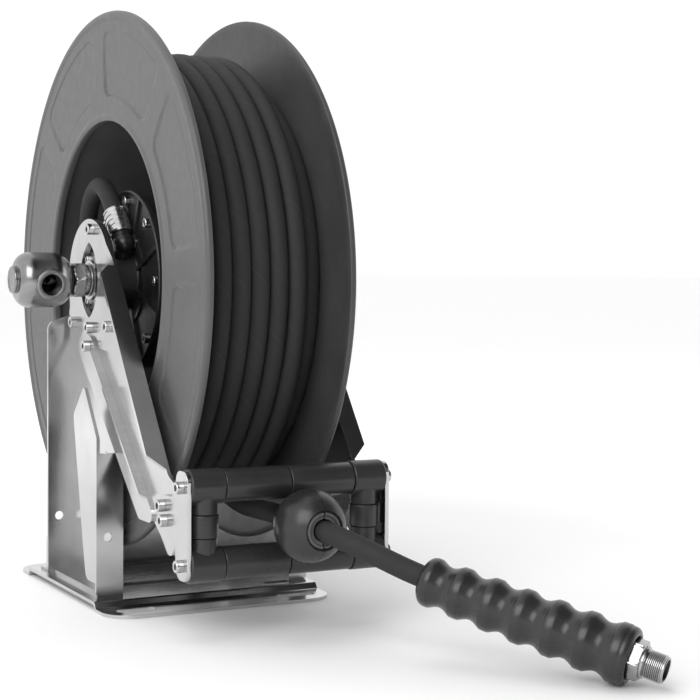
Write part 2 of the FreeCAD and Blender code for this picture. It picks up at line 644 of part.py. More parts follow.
def hub_web():
    """Web that carries the barrel on the arbor's bush, with lightening holes."""
    inner = ARBOR_R + BUSH_WALL
    web = tube(Vector(WEB_X, 0, AXIS_Z), X, BARREL_R - BARREL_WALL, inner, WEB_T)
    boss = tube(Vector(WEB_X - 3, 0, AXIS_Z), X, inner + 8, inner, RATCHET_X - WEB_X + 3)
    middle = (HOUSING_R + BARREL_R - BARREL_WALL) / 2
    hole = rod(Vector(WEB_X, 0, AXIS_Z + middle), X, WEB_HOLE_R, WEB_T)
    return join(web, [boss]).cut(around(hole, WEB_HOLES, 20.0))


def spring_housing():
    """Cup round the power spring, with an inner ring at the front for the cover's screws."""
    front = COVER_X + COVER_T
    inner = ARBOR_R + BUSH_WALL + 8
    wall = HOUSING_R - HOUSING_WALL
    ring = COVER_SCREW_PCD / 2 - 6
    cup = turned([(front, HOUSING_R, 0), (WEB_X, HOUSING_R, 3), (WEB_X, inner, 0), (WEB_X - 3, inner, 0),
                  (WEB_X - 3, wall, 1), (front + RING_T, wall, 0), (front + RING_T, ring, 0), (front, ring, 0)])
    return cup.cut(cover_holes())


def spring_cover():
    """Black cover with ribs, a rolled rim and the boss that the drum's shaft drives."""
    back = COVER_X + COVER_T
    cover = turned([(back, 0, 0), (back, COVER_R, 1), (COVER_X - 3, COVER_R, 1.5), (COVER_X - 3, COVER_R - 3, 1),
                    (COVER_X, COVER_R - 3, 0.5), (COVER_X, BOSS_R + 4, 3), (COVER_X - BOSS_LENGTH, BOSS_R, 2),
                    (COVER_X - BOSS_LENGTH, 0, 0)])
    rib = box(COVER_X - 2.5, COVER_X + 1, -2, 2, AXIS_Z + BOSS_R, AXIS_Z + COVER_R - 3)
    ribs = around(rib, COVER_SCREWS, 22.5)
    inner_ring = tube(Vector(COVER_X - 1.5, 0, AXIS_Z), X, BOSS_R + 16, BOSS_R + 13, 2)
    seat = rod(Vector(COVER_X - BOSS_LENGTH, 0, AXIS_Z), X, SHAFT_R, SHAFT_END - COVER_X + BOSS_LENGTH)
    room = rod(Vector(SHAFT_END + 11, 0, AXIS_Z), X, BOSS_R - 6, back - SHAFT_END)
    port = rod(Vector(COVER_X - BOSS_LENGTH / 2, 0, AXIS_Z), ELBOW_DIRECTION, 8, BOSS_R + 6)
    return join(cover, ribs + [inner_ring]).cut([seat, room, port] + hose_room() + cover_holes())


def cover_holes():
    """Screw holes through the cover and the housing's inner ring, as cutters."""
    place = Vector(COVER_X, 0, AXIS_Z + COVER_SCREW_PCD / 2)
    return around(rod(place, X, M5[0], COVER_T + RING_T), COVER_SCREWS)


def cover_screws():
    place = Vector(COVER_X, 0, AXIS_Z + COVER_SCREW_PCD / 2)
    return Part.makeCompound(around(cap_screw(place, -X, M5, COVER_T + RING_T), COVER_SCREWS))


def power_spring():
    """Spiral strip from near the arbor out to the housing's wall."""
    growth = (HOUSING_R - HOUSING_WALL - SOFT_GAP - STRIP_T - STRIP_IN_R) / STRIP_COILS
    steps = 24 * STRIP_COILS

    def spiral(offset):
        points = []
        for k in range(steps + 1):
            turn = k / 24
            r = STRIP_IN_R + growth * turn + offset
            angle = 2 * math.pi * turn
            points.append(Vector(COVER_X + 14, r * math.cos(angle), AXIS_Z + r * math.sin(angle)))
        curve = Part.BSplineCurve()
        curve.interpolate(points)
        return curve.toShape(), points

    inner, inner_points = spiral(0)
    outer, outer_points = spiral(STRIP_T)
    wire = Part.Wire([inner, Part.makeLine(inner_points[-1], outer_points[-1]), outer,
                      Part.makeLine(outer_points[0], inner_points[0])])
    return Part.Face(wire).extrude(X * (WEB_X - 8 - COVER_X - 14))


ELBOW_X = COVER_X - BOSS_LENGTH / 2
ELBOW = Vector(ELBOW_X, -18, AXIS_Z + 33.0)               # knee of the outlet elbow
ELBOW_DIRECTION = (ELBOW - Vector(ELBOW_X, 0, AXIS_Z)).normalize()
FERRULE_R = 11.0
FERRULE_END = Vector(ELBOW_X, 6.5, AXIS_Z + 61.5)
INNER_ROUTE = [FERRULE_END, Vector(ELBOW_X, 35, AXIS_Z + 94.5), Vector(ELBOW_X + 3, 84, AXIS_Z + 76),
               Vector(ELBOW_X + 9, 108, AXIS_Z + 32), Vector(ELBOW_X + 13, 108, AXIS_Z - 16)]


def hose_room():
    """Room that the elbow, the ferrule and the inner hose need beside the cover."""
    along = (FERRULE_END - ELBOW).normalize()
    return [Part.makeSphere(10.1, ELBOW), rod(ELBOW, along, FERRULE_R + 0.6, 80)]


def hub_elbow():
    """Fitting from the boss's outlet to the inner hose's ferrule."""
    start = Vector(ELBOW_X, 0, AXIS_Z) + ELBOW_DIRECTION * SHAFT_R
    stem = rod(start, ELBOW_DIRECTION, 8, (ELBOW - start).Length)
    knee = Part.makeSphere(9.5, ELBOW)
    along = (FERRULE_END - ELBOW).normalize()
    nose = rod(ELBOW, along, 8, 10)
    outer = join(stem, [knee, nose])
    bores = [rod(start, ELBOW_DIRECTION, 4, (ELBOW - start).Length), rod(ELBOW, along, 4, 10)]
    shaft = rod(Vector(ELBOW_X - 20, 0, AXIS_Z), X, SHAFT_R, 40)
    return outer.cut(bores + [shaft])


def inner_ferrules():
    """Crimped sleeves on the inner hose's two ends."""
    along = (FERRULE_END - ELBOW).normalize()
    first = tube(ELBOW + along * 10, along, FERRULE_R, HOSE_R - HOSE_WALL, (FERRULE_END - ELBOW).Length - 10)
    down = (INNER_ROUTE[-1] - INNER_ROUTE[-2]).normalize()
    second = tube(INNER_ROUTE[-1], down, FERRULE_R, HOSE_R - HOSE_WALL, 24)
    return Part.makeCompound([first, second])


def tangent_path(points):
    """Straight runs joined by tangent arcs; returns the wire and the arcs' radii."""
    edges = []
    radii = []
    start = points[0]
    for before, here, after in zip(points, points[1:], points[2:]):
        back = (before - here).normalize()
        ahead = (after - here).normalize()
        half_turn = (math.pi - back.getAngle(ahead)) / 2
        reach = 0.45 * min((before - here).Length, (after - here).Length)
        radius = reach / math.tan(half_turn)
        middle = (back + ahead).normalize()
        centre = here + middle * (radius / math.cos(half_turn))
        first, top, last = here + back * reach, centre - middle * radius, here + ahead * reach
        edges.append(Part.LineSegment(start, first).toShape())
        edges.append(Part.Arc(first, top, last).toShape())
        radii.append(radius)
        start = last
    edges.append(Part.LineSegment(start, points[-1]).toShape())
    return Part.Wire(edges), radii


def swept_tube(points, radius, name):
    """Round solid along a tangent path, with its volume compared with section times length."""
    path, radii = tangent_path(points)
    section = Part.Wire(Part.makeCircle(radius, points[0], points[1] - points[0]))
    solid = path.makePipeShell([section], True, True)
    expected = math.pi * radius ** 2 * path.Length
    print(f"{name}: length {path.Length:.1f}, radii {[round(r) for r in radii]}, "
          f"volume ratio {solid.Volume / expected:.4f}")
    return solid


def inner_hose():
    return swept_tube(INNER_ROUTE, HOSE_R, "inner hose")


def wound_hose():
    """Envelope of the hose on the drum: full layers, and an outer layer that stops one turn short."""
    inner = BARREL_R + SOFT_GAP
    layer = (2 * HOSE_R) * 0.98
    outer = inner + layer * LAYERS
    lower = inner + layer * (LAYERS - 1)
    left = -(DRUM_HALF - DISC_INSET - DISC_SHEET) + SOFT_GAP
    edge = left + TURN_PITCH * OUTER_TURNS
    right = -left
    return turned([(left, inner, 0), (left, outer, 4), (edge, outer, 4), (edge, lower, 0),
                   (right, lower, 4), (right, inner, 0)])


def ratchet_wheel():
    """Toothed ring on the hub web's boss."""
    corners = []
    for k in range(RATCHET_TEETH):
        for share, r in ((0.0, RATCHET_R), (0.3, RATCHET_R), (0.45, RATCHET_ROOT_R), (0.85, RATCHET_ROOT_R)):
            angle = 2 * math.pi * (k + share) / RATCHET_TEETH
            corners.append(Vector(RATCHET_X - RATCHET_T, r * math.sin(angle), AXIS_Z + r * math.cos(angle)))
    wheel = Part.Face(Part.makePolygon(corners + corners[:1])).extrude(X * RATCHET_T)
    return wheel.cut(rod(Vector(RATCHET_X - RATCHET_T, 0, AXIS_Z), X, ARBOR_R + BUSH_WALL + 8, RATCHET_T))


# ---- pawl ------------------------------------------------------------------------------------
PAWL_AXIS = Vector(0, 0, AXIS_Z - PAWL_PIN_DROP)


def pawl_pin():
    start = RATCHET_X - RATCHET_T - 3
    return rod(PAWL_AXIS + X * start, X, PAWL_PIN_R, FRAME_X + POST_IN - start)


def pawl():
    """Centred pawl below the ratchet wheel, free to lean either way."""
    tip = PAWL_PIN_DROP - RATCHET_R - PAWL_TIP_GAP
    low = RATCHET_X - RATCHET_T + 0.5
    nose = plate_x([(-9, PAWL_AXIS.z - 4, 3), (9, PAWL_AXIS.z - 4, 3), (4, PAWL_AXIS.z + tip, 1),
                    (-4, PAWL_AXIS.z + tip, 1)], low, low + 4)
    hub = rod(PAWL_AXIS + X * (low - 1), X, 11, 10)
    return join(nose, [hub]).cut(rod(PAWL_AXIS + X * (low - 1), X, PAWL_PIN_R + RUNNING, 10))


def pawl_spring():
    """Light coil round the pin, between the pawl and the post."""
    start = RATCHET_X - RATCHET_T + 0.5 + 9.3
    wire_r = 0.8
    coil_r = 7.5
    helix = Part.makeHelix(2.2, 8.8, coil_r)
    profile = Part.Wire(Part.makeCircle(wire_r, Vector(coil_r, 0, 0), Y))
    coil = helix.makePipeShell([profile], True, True)
    coil.rotate(ORIGIN, Y, 90)
    coil.translate(PAWL_AXIS + X * (start + wire_r))
    return coil


# ---- free hose, ball stop, grip and end fitting ---------------------------------------------
def route_vectors():
    return [Vector(*point) for point in HOSE_ROUTE]


def hose_free():
    return swept_tube(route_vectors(), HOSE_R, "free hose")


def hose_clearance(first, gap):
    """Cutter along the hose from route point `first` on, wider than the hose by gap."""
    return swept_tube(route_vectors()[first:], HOSE_R + gap, "room for the hose")


STOP_AXIS = (Vector(*HOSE_ROUTE[4]) - Vector(*HOSE_ROUTE[3])).normalize()
STOP_CENTRE = Vector(*HOSE_ROUTE[3]) + STOP_AXIS * STOP_ALONG
GRIP_AXIS = (GRIP_LAST - GRIP_FIRST).normalize()
GRIP_MOUTH = 7.5             # from the mouth to the first ring's middle
HOSE_FIT = 0.2               # gap between the hose and what holds it


def stop_half(side):
    """Half of the ball stop, split on an upright plane along the hose."""
    ball = Part.makeSphere(STOP_R, STOP_CENTRE)
    front = STOP_CENTRE + STOP_AXIS * (STOP_R - 3)
    rear = STOP_CENTRE - STOP_AXIS * (STOP_R - 3)
    cuts = [rod(front, STOP_AXIS, STOP_R, 9), rod(rear, STOP_AXIS * -1, STOP_R, 9)]
    cuts.append(hose_clearance(2, 0.8))
    cuts.append(rod(front - STOP_AXIS * (INSERT_LENGTH - 1), STOP_AXIS, INSERT_R, INSERT_LENGTH + 6))
    out = Z.cross(STOP_AXIS).normalize() * side
    size = 2 * STOP_R + 20
    keep = Part.makeBox(size, size, size, Vector(0, -size / 2, -size / 2))
    keep.Placement = FreeCAD.Placement(STOP_CENTRE + out * (STOP_SPLIT / 2),
                                       FreeCAD.Rotation(X, out)) * keep.Placement
    return ball.cut(cuts).common(keep)


def stop_insert():
    """Two-part ring that grips the hose inside the ball stop."""
    start = STOP_CENTRE + STOP_AXIS * (STOP_R - 3 - INSERT_LENGTH + 1)
    ring = rod(start, STOP_AXIS, INSERT_R, INSERT_LENGTH).cut(hose_clearance(2, HOSE_FIT))
    out = Z.cross(STOP_AXIS).normalize()
    size = 4 * INSERT_R
    slit = Part.makeBox(STOP_SPLIT, size, size, Vector(-STOP_SPLIT / 2, -size / 2, -size / 2))
    slit.Placement = FreeCAD.Placement(start, FreeCAD.Rotation(X, out)) * slit.Placement
    return ring.cut(slit)


def along_grip(corners):
    """Solid of revolution about the grip's axis, from (distance from the mouth, radius, corner)."""
    mouth = GRIP_FIRST - GRIP_AXIS * GRIP_MOUTH
    wire = rounded_wire(corners, lambda p: Vector(p.x, p.y, 0))
    solid = Part.Face(wire).revolve(ORIGIN, X, 360)
    solid.Placement = FreeCAD.Placement(mouth, FreeCAD.Rotation(X, GRIP_AXIS))
    return solid


GRIP_LENGTH = GRIP_MOUTH + GRIP_PITCH * (GRIP_RINGS - 1) + 10


def ring_radius(k):
    return GRIP_FIRST_R + (GRIP_LAST_R - GRIP_FIRST_R) * k / (GRIP_RINGS - 1)


def hose_grip():
    """Hand grip: a tapered rubber sleeve with rings, bored for the hose and for the fitting."""
    corners = [(0, 0, 0), (0, HOSE_R + 3.5, 2), (3, ring_radius(0) - GRIP_WAIST + 1.5, 2)]
    for k in range(GRIP_RINGS):
        middle = GRIP_MOUTH + GRIP_PITCH * k
        corners.append((middle - (4 if k else 1.5), ring_radius(k), 3.5 if k else 2.5))
        corners.append((middle + 4, ring_radius(k), 3.5))
        if k < GRIP_RINGS - 1:
            waist = (ring_radius(k) + ring_radius(k + 1)) / 2 - GRIP_WAIST
            corners.append((middle + GRIP_PITCH / 2 - 2, waist, 4))
            corners.append((middle + GRIP_PITCH / 2 + 2, waist, 4))
    end = GRIP_LENGTH
    corners += [(end, GRIP_LAST_R - 1, 3), (end, GRIP_RECESS_R, 0.6), (end - FITTING_SINK, GRIP_RECESS_R, 0),
                (end - FITTING_SINK, SHANK_R, 0), (end - SHANK_LENGTH, SHANK_R, 0),
                (end - SHANK_LENGTH, 0, 0)]
    return along_grip(corners).cut(hose_clearance(4, HOSE_FIT))


SHANK_R = 11.0
SHANK_LENGTH = 40.0
GRIP_RECESS_R = 16.6         # recess in the grip's end, round the hexagon
FITTING_SINK = 5.0           # depth of that recess


def end_fitting():
    """Crimped tail in the grip, hexagon, and male thread."""
    start = GRIP_LENGTH - FITTING_SINK - 2
    mouth = GRIP_FIRST - GRIP_AXIS * GRIP_MOUTH
    thread = FITTING_THREAD_R
    tail = GRIP_LENGTH - SHANK_LENGTH
    body = along_grip([(tail, 0, 0), (tail, SHANK_R, 0), (start + 3, SHANK_R, 0.5),
                       (start + 3, 10, 0), (start + 3 + FITTING_HEX, 10, 0),
                       (start + 3 + FITTING_HEX, thread - 1.4, 0), (start + 5.5 + FITTING_HEX, thread - 1.4, 0),
                       (start + 6 + FITTING_HEX, thread, 0), (start + FITTING_HEX + 2 + FITTING_THREAD, thread, 1),
                       (start + FITTING_HEX + 3 + FITTING_THREAD, thread - 1, 0),
                       (start + FITTING_HEX + 3 + FITTING_THREAD, 0, 0)])
    nut = hexagon(mouth + GRIP_AXIS * (start + 3), GRIP_AXIS, FITTING_AF, FITTING_HEX)
    bore = rod(mouth + GRIP_AXIS * (tail + 5), GRIP_AXIS, FITTING_BORE_R, 100)
    return join(body, [nut]).cut(bore)


# ---- the sub-parts --------------------------------------------------------------------------
def main():
    os.makedirs("parts", exist_ok=True)
    save("base_plate", base_plate())
    save("rear_tie_panel", rear_tie_panel())
    save("deck_cross_plate", deck_cross_plate())
    save("left_post", post(FLANGE_LEFT, LEFT))
    save("right_post", post(FLANGE_RIGHT, RIGHT))
    for side, name in ((LEFT, "left"), (RIGHT, "right")):
        save(name + "_arm", arm(side))
        save(name + "_arm_brace", arm_brace(side))
        save(name + "_end_plate", end_plate(side))
        save(name + "_top_corner", corner_block(side, True))
        save(name + "_bottom_corner", corner_block(side, False))
        save("top_roller_" + name, horizontal_roller(side, GUIDE_TOP_Z))
        save("bottom_roller_" + name, horizontal_roller(side, GUIDE_BOTTOM_Z))
        save("side_roller_" + name, side_roller(side))
        save(name + "_disc", disc(side))
        save("ball_stop_" + name, stop_half(side))
    save("top_roller_axle", roller_axle(GUIDE_TOP_Z))
    save("bottom_roller_axle", roller_axle(GUIDE_BOTTOM_Z))
    pieces = [side_roller_pins, left_bearing_housing, left_bearing_bush, arbor_flange, spring_arbor, hub_bush,
              head_screws, bearing_screws, guide_screws, swivel_nut, swivel_body, swivel_cap, swivel_seal,
              drum_shaft, drum_barrel, hub_web, spring_housing, spring_cover, cover_screws, power_spring,
              hub_elbow, inner_ferrules, inner_hose, wound_hose, ratchet_wheel, pawl_pin, pawl, pawl_spring,
              hose_free, stop_insert, hose_grip, end_fitting]
    for piece in pieces:
        save(piece.__name__, piece())


main()
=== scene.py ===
"""Spring-rewind hose reel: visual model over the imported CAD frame."""
import json
import math
import bmesh
import bpy
import numpy as np
from mathutils import Matrix, Vector

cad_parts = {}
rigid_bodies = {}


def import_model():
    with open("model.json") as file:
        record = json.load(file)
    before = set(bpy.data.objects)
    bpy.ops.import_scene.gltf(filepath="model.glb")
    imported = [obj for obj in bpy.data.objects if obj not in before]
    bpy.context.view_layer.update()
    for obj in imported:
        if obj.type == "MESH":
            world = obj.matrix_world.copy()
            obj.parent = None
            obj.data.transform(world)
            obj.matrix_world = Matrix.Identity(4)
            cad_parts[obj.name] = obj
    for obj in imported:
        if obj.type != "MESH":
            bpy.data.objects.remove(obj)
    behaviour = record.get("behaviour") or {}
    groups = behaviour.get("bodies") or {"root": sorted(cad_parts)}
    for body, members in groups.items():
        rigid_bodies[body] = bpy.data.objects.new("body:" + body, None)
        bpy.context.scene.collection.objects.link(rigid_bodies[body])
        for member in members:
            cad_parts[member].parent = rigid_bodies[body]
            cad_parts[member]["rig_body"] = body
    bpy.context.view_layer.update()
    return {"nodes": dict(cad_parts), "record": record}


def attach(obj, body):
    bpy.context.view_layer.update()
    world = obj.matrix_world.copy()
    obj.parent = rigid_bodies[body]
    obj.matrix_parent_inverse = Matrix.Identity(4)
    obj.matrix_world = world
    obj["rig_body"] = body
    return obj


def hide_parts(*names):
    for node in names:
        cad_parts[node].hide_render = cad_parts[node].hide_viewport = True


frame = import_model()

MM = 0.001
AXIS_Z = 282.0
MID = 7.5                    # middle plane of the posts and the guide


def vec(*p):
    return Vector(p) * MM


# ---- mesh helpers ---------------------------------------------------------------------------
def piece(name, body, slot, material, verts, faces, uvs=None, replaces=(), angle=38, weld=True):
    """A mesh piece in the row frame, shaded smooth up to `angle`, riding on a CAD body."""
    mesh = bpy.data.meshes.new(name)
    mesh.from_pydata([tuple(v) for v in verts], [], [tuple(f) for f in faces])
    if uvs is not None:
        layer = mesh.uv_layers.new(name="UVMap")
        layer.data.foreach_set("uv", np.asarray(uvs, np.float32).ravel())
    if weld:
        bm = bmesh.new()
        bm.from_mesh(mesh)
        bmesh.ops.remove_doubles(bm, verts=bm.verts, dist=2e-6)
        bmesh.ops.dissolve_degenerate(bm, dist=1e-7, edges=bm.edges)
        bmesh.ops.recalc_face_normals(bm, faces=bm.faces)
        bm.to_mesh(mesh)
        bm.free()
    return finish_piece(name, mesh, body, material, replaces, angle)


def finish_piece(name, mesh, body, material, replaces=(), angle=38):
    mesh.polygons.foreach_set("use_smooth", [True] * len(mesh.polygons))
    mesh.set_sharp_from_angle(angle=math.radians(angle))
    mesh.materials.clear()
    mesh.materials.append(material)
    obj = bpy.data.objects.new(name, mesh)
    bpy.context.scene.collection.objects.link(obj)
    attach(obj, body)
    if replaces:
        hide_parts(*([replaces] if isinstance(replaces, str) else replaces))
    return obj


def soften(corners, steps=5):
    """Profile polyline from (t, r, corner radius); a radius of 0 keeps the corner sharp."""
    out = []
    n = len(corners)
    for k, (a, b, radius) in enumerate(corners):
        here = Vector((a, b))
        back = Vector(corners[k - 1][:2]) - here
        ahead = Vector(corners[(k + 1) % n][:2]) - here
        if radius <= 0 or back.length < 1e-9 or ahead.length < 1e-9:
            out.append((a, b))
            continue
        back.normalize()
        ahead.normalize()
        half = math.acos(max(-1, min(1, back.dot(ahead)))) / 2
        if half > math.pi / 2 - 0.01:
            out.append((a, b))
            continue
        reach = radius / math.tan(half)
        middle = (back + ahead).normalized()
        centre = here + middle * (radius / math.sin(half))
        first, last = here + back * reach - centre, here + ahead * reach - centre
        turn = first.angle_signed(last) if first.length and last.length else 0
        for s in range(steps + 1):
            share = s / steps
            c, d = math.cos(-turn * share), math.sin(-turn * share)
            out.append((centre.x + first.x * c - first.y * d, centre.y + first.x * d + first.y * c))
    return out


def frame_of(axis):
    a = Vector(axis).normalized()
    side = a.cross(Vector((0, 0, 1)) if abs(a.z) < 0.9 else Vector((1, 0, 0))).normalized()
    return a, side, side.cross(a)


def lathe(profile, origin, axis, steps=96, closed=True, first=0.0, sweep=math.tau):
    """Verts, faces and UVs of a profile [(t, r)] in mm turned about an axis through origin (mm)."""
    a, b, c = (np.array(v) for v in frame_of(axis))
    o = np.array(origin, float)
    full = abs(sweep - math.tau) < 1e-6
    count = steps if full else steps + 1
    t = np.array([p[0] for p in profile])
    r = np.array([p[1] for p in profile])
    n = len(profile)
    phi = first + sweep * np.arange(count) / steps
    ring = np.cos(phi)[:, None] * b + np.sin(phi)[:, None] * c
    verts = (o + t[None, :, None] * a + r[None, :, None] * ring[:, None, :]) * MM
    verts = verts.reshape(-1, 3)
    run = np.concatenate([[0], np.cumsum(np.hypot(np.diff(t), np.diff(r)))]) * MM
    faces, uvs = [], []
    spans = n if closed else n - 1
    for k in range(steps):
        k2 = (k + 1) % count if full else k + 1
        v0, v1 = k / steps, (k + 1) / steps
        for j in range(spans):
            j2 = (j + 1) % n
            faces.append((k * n + j, k2 * n + j, k2 * n + j2, k * n + j2))
            u0, u1 = run[j], run[j2] if j2 else run[-1] + 0.001
            uvs += [(u0, v0), (u0, v1), (u1, v1), (u1, v0)]
    if not full:
        faces.append(tuple(range(n)))
        faces.append(tuple(reversed(range(steps * n, steps * n + n))))
        uvs += [(x, 0) for x in run] + [(x, 1) for x in run[::-1]]
    return verts, faces, uvs


def tube(points, radius, segs=28, caps=True):
    """Verts, faces, UVs (metres along, share around) of a round tube along points in metres."""
    p = np.array(points, float)
    d = np.gradient(p, axis=0)
    d /= np.linalg.norm(d, axis=1)[:, None]
    up = np.array([0, 0, 1.0]) if abs(d[0, 2]) < 0.9 else np.array([1.0, 0, 0])
    side = np.cross(d[0], up)
    side /= np.linalg.norm(side)
    sides = [side]
    for k in range(1, len(p)):
        s = sides[-1] - d[k] * np.dot(sides[-1], d[k])
        sides.append(s / np.linalg.norm(s))
    sides = np.array(sides)
    other = np.cross(d, sides)
    phi = math.tau * np.arange(segs) / segs
    ring = np.cos(phi)[None, :, None] * sides[:, None] + np.sin(phi)[None, :, None] * other[:, None]
    verts = (p[:, None] + radius * ring).reshape(-1, 3)
    run = np.concatenate([[0], np.cumsum(np.linalg.norm(np.diff(p, axis=0), axis=1))])
    faces, uvs = [], []
    for k in range(len(p) - 1):
        for j in range(segs):
            j2 = (j + 1) % segs
            faces.append((k * segs + j, k * segs + j2, (k + 1) * segs + j2, (k + 1) * segs + j))
            v0, v1 = j / segs, (j + 1) / segs
            uvs += [(run[k], v0), (run[k], v1), (run[k + 1], v1), (run[k + 1], v0)]
    if caps:
        last = (len(p) - 1) * segs
        faces += [tuple(reversed(range(segs))), tuple(range(last, last + segs))]
        uvs += [(0, 0)] * segs + [(run[-1], 0)] * segs
    return verts, faces, uvs


def merge(parts):
    """Several (verts, faces, uvs) as one."""
    verts, faces, uvs = [], [], []
    for v, f, u in parts:
        base = len(verts)
        verts += [tuple(x) for x in v]
        faces += [tuple(i + base for i in face) for face in f]
        uvs += list(u)
    return verts, faces, uvs


def spline_points(name, route, resolution=14):
    """The points of the route's own smooth spline."""
    curve = bpy.data.curves.new(name, "CURVE")
    curve.dimensions = "3D"
    curve.resolution_u = resolution
    spline = curve.splines.new("NURBS")
    spline.points.add(len(route) - 1)
    for point, place in zip(spline.points, route):
        point.co = (*place, 1)
    spline.order_u = 3
    spline.use_endpoint_u = True
    obj = bpy.data.objects.new(name, curve)
    bpy.context.scene.collection.objects.link(obj)
    bpy.context.view_layer.update()
    line = bpy.data.meshes.new_from_object(obj)
    points = [v.co.copy() for v in line.vertices]
    bpy.data.objects.remove(obj)
    bpy.data.curves.remove(curve)
    bpy.data.meshes.remove(line)
    return points


def edged(node, material, width=0.4, segments=2, limit=28, suffix="skin", flat=0.6):
    """A CAD node's shape as a new piece with eased edges, for sheet and machined parts."""
    source = frame["nodes"][node]
    mesh = source.data.copy()
    mesh.name = node + "_" + suffix
    bm = bmesh.new()
    bm.from_mesh(mesh)
    bmesh.ops.remove_doubles(bm, verts=bm.verts, dist=1e-6)
    bmesh.ops.dissolve_limit(bm, angle_limit=math.radians(flat), verts=bm.verts, edges=bm.edges)
    bmesh.ops.recalc_face_normals(bm, faces=bm.faces)
    sharp = [e for e in bm.edges if len(e.link_faces) == 2
             and e.calc_face_angle(0) > math.radians(limit)]
    if width > 0:
        bmesh.ops.bevel(bm, geom=sharp, offset=width * MM, segments=segments, profile=0.5,
                        affect="EDGES", clamp_overlap=True)
    corners = np.array([v.co for v in source.data.vertices])
    low, high = corners.min(axis=0), corners.max(axis=0)
    for v in bm.verts:
        v.co = [min(max(c, a), b) for c, a, b in zip(v.co, low, high)]
    bm.to_mesh(mesh)
    bm.free()
    while mesh.uv_layers:
        mesh.uv_layers.remove(mesh.uv_layers[0])
    obj = finish_piece(node + "_" + suffix, mesh, source["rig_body"], material, node, 34)
    weigh = obj.modifiers.new("face_weights", "WEIGHTED_NORMAL")
    weigh.keep_sharp = True
    weigh.weight = 100
    return obj


# ---- materials ------------------------------------------------------------------------------
class Look:
    """Builds one procedural material on a Principled shader."""

    def __init__(self, name):
        self.material = bpy.data.materials.new(name)
        self.material.use_nodes = True
        self.tree = self.material.node_tree
        self.shader = self.tree.nodes["Principled BSDF"]
        self.coords = self.tree.nodes.new("ShaderNodeTexCoord")

    def node(self, kind, **values):
        node = self.tree.nodes.new("ShaderNode" + kind)
        for key, value in values.items():
            if hasattr(node, key):
                setattr(node, key, value)
            else:
                node.inputs[key.replace("_", " ").title()].default_value = value
        return node

    def link(self, a, b):
        self.tree.links.new(a, b)

    def noise(self, scale, detail=4.0, rough=0.55, stretch=None, uv=False):
        node = self.node("TexNoise")
        node.inputs["Scale"].default_value = scale
        node.inputs["Detail"].default_value = detail
        node.inputs["Roughness"].default_value = rough
        source = self.coords.outputs["UV" if uv else "Object"]
        if stretch is not None:
            mapping = self.node("Mapping")
            mapping.inputs["Scale"].default_value = stretch
            self.link(source, mapping.inputs["Vector"])
            source = mapping.outputs["Vector"]
        self.link(source, node.inputs["Vector"])
        return node.outputs["Fac"]

    def ramp(self, source, stops):
        node = self.node("ValToRGB")
        ramp = node.color_ramp
        while len(ramp.elements) < len(stops):
            ramp.elements.new(0.5)
        for element, (place, colour) in zip(ramp.elements, stops):
            element.position = place
            element.color = (*colour, 1) if len(colour) == 3 else colour
        self.link(source, node.inputs["Fac"])
        return node.outputs["Color"]

    def range(self, source, low, high, start=0.0, end=1.0):
        node = self.node("MapRange")
        node.inputs["From Min"].default_value = start
        node.inputs["From Max"].default_value = end
        node.inputs["To Min"].default_value = low
        node.inputs["To Max"].default_value = high
        self.link(source, node.inputs["Value"])
        return node.outputs["Result"]

    def mix(self, share, a, b, blend="MIX"):
        node = self.node("Mix")
        node.data_type = "RGBA"
        node.blend_type = blend
        for socket, value in ((node.inputs[0], share), (node.inputs[6], a), (node.inputs[7], b)):
            if hasattr(value, "is_output"):
                self.link(value, socket)
            else:
                socket.default_value = value if isinstance(value, (int, float)) else (*value, 1)
        return node.outputs[2]

    def add(self, a, b, operation="ADD"):
        node = self.node("Math")
        node.operation = operation
        for socket, value in zip(node.inputs, (a, b)):
            if hasattr(value, "is_output"):
                self.link(value, socket)
            else:
                socket.default_value = value
        return node.outputs[0]

    def bump(self, height, distance, strength=1.0):
        node = self.node("Bump")
        node.inputs["Distance"].default_value = distance
        node.inputs["Strength"].default_value = strength
        self.link(height, node.inputs["Height"])
        self.link(node.outputs["Normal"], self.shader.inputs["Normal"])

    def done(self, colour=None, rough=None, **fixed):
        if colour is not None:
            self.link(colour, self.shader.inputs["Base Color"])
        if rough is not None:
            self.link(rough, self.shader.inputs["Roughness"])
        sockets = {socket.name.lower().replace(" ", "_"): socket for socket in self.shader.inputs}
        for key, value in fixed.items():
            sockets[key].default_value = value
        return self.material


def grey(value, warm=0.0):
    return (value * (1 + warm), value, value * (1 - warm))


def plated(name, low, high, rough, grain=(3, 40, 3), bump=0.00003):
    """Rolled, zinc-plated sheet: faint rolling streaks, cloudy plating and fine scratches."""
    look = Look(name)
    cloud = look.noise(26, 3, 0.5)
    streak = look.noise(9, 6, 0.7, grain)
    fine = look.noise(420, 2, 0.6, (1, 1, 6))
    both = look.add(look.add(cloud, 0.6, "MULTIPLY"), look.add(streak, 0.4, "MULTIPLY"))
    colour = look.ramp(both, [(0.3, grey(low)), (0.62, grey(high))])
    shine = look.range(look.add(cloud, streak), rough[0], rough[1], 0.6, 1.4)
    look.bump(look.add(streak, look.add(fine, 0.4, "MULTIPLY")), bump)
    return look.done(colour, shine, metallic=1.0)


def machined(name, low, high, rough, bump=0.00002):
    """Turned or forged steel with tool marks and slightly uneven tone."""
    look = Look(name)
    cloud = look.noise(60, 4, 0.6)
    marks = look.noise(900, 2, 0.5, (3, 0.3, 0.3))
    colour = look.ramp(cloud, [(0.32, grey(low)), (0.66, grey(high))])
    shine = look.range(look.add(cloud, look.add(marks, 0.5, "MULTIPLY")), rough[0], rough[1], 0.5, 1.1)
    look.bump(marks, bump)
    return look.done(colour, shine, metallic=1.0)


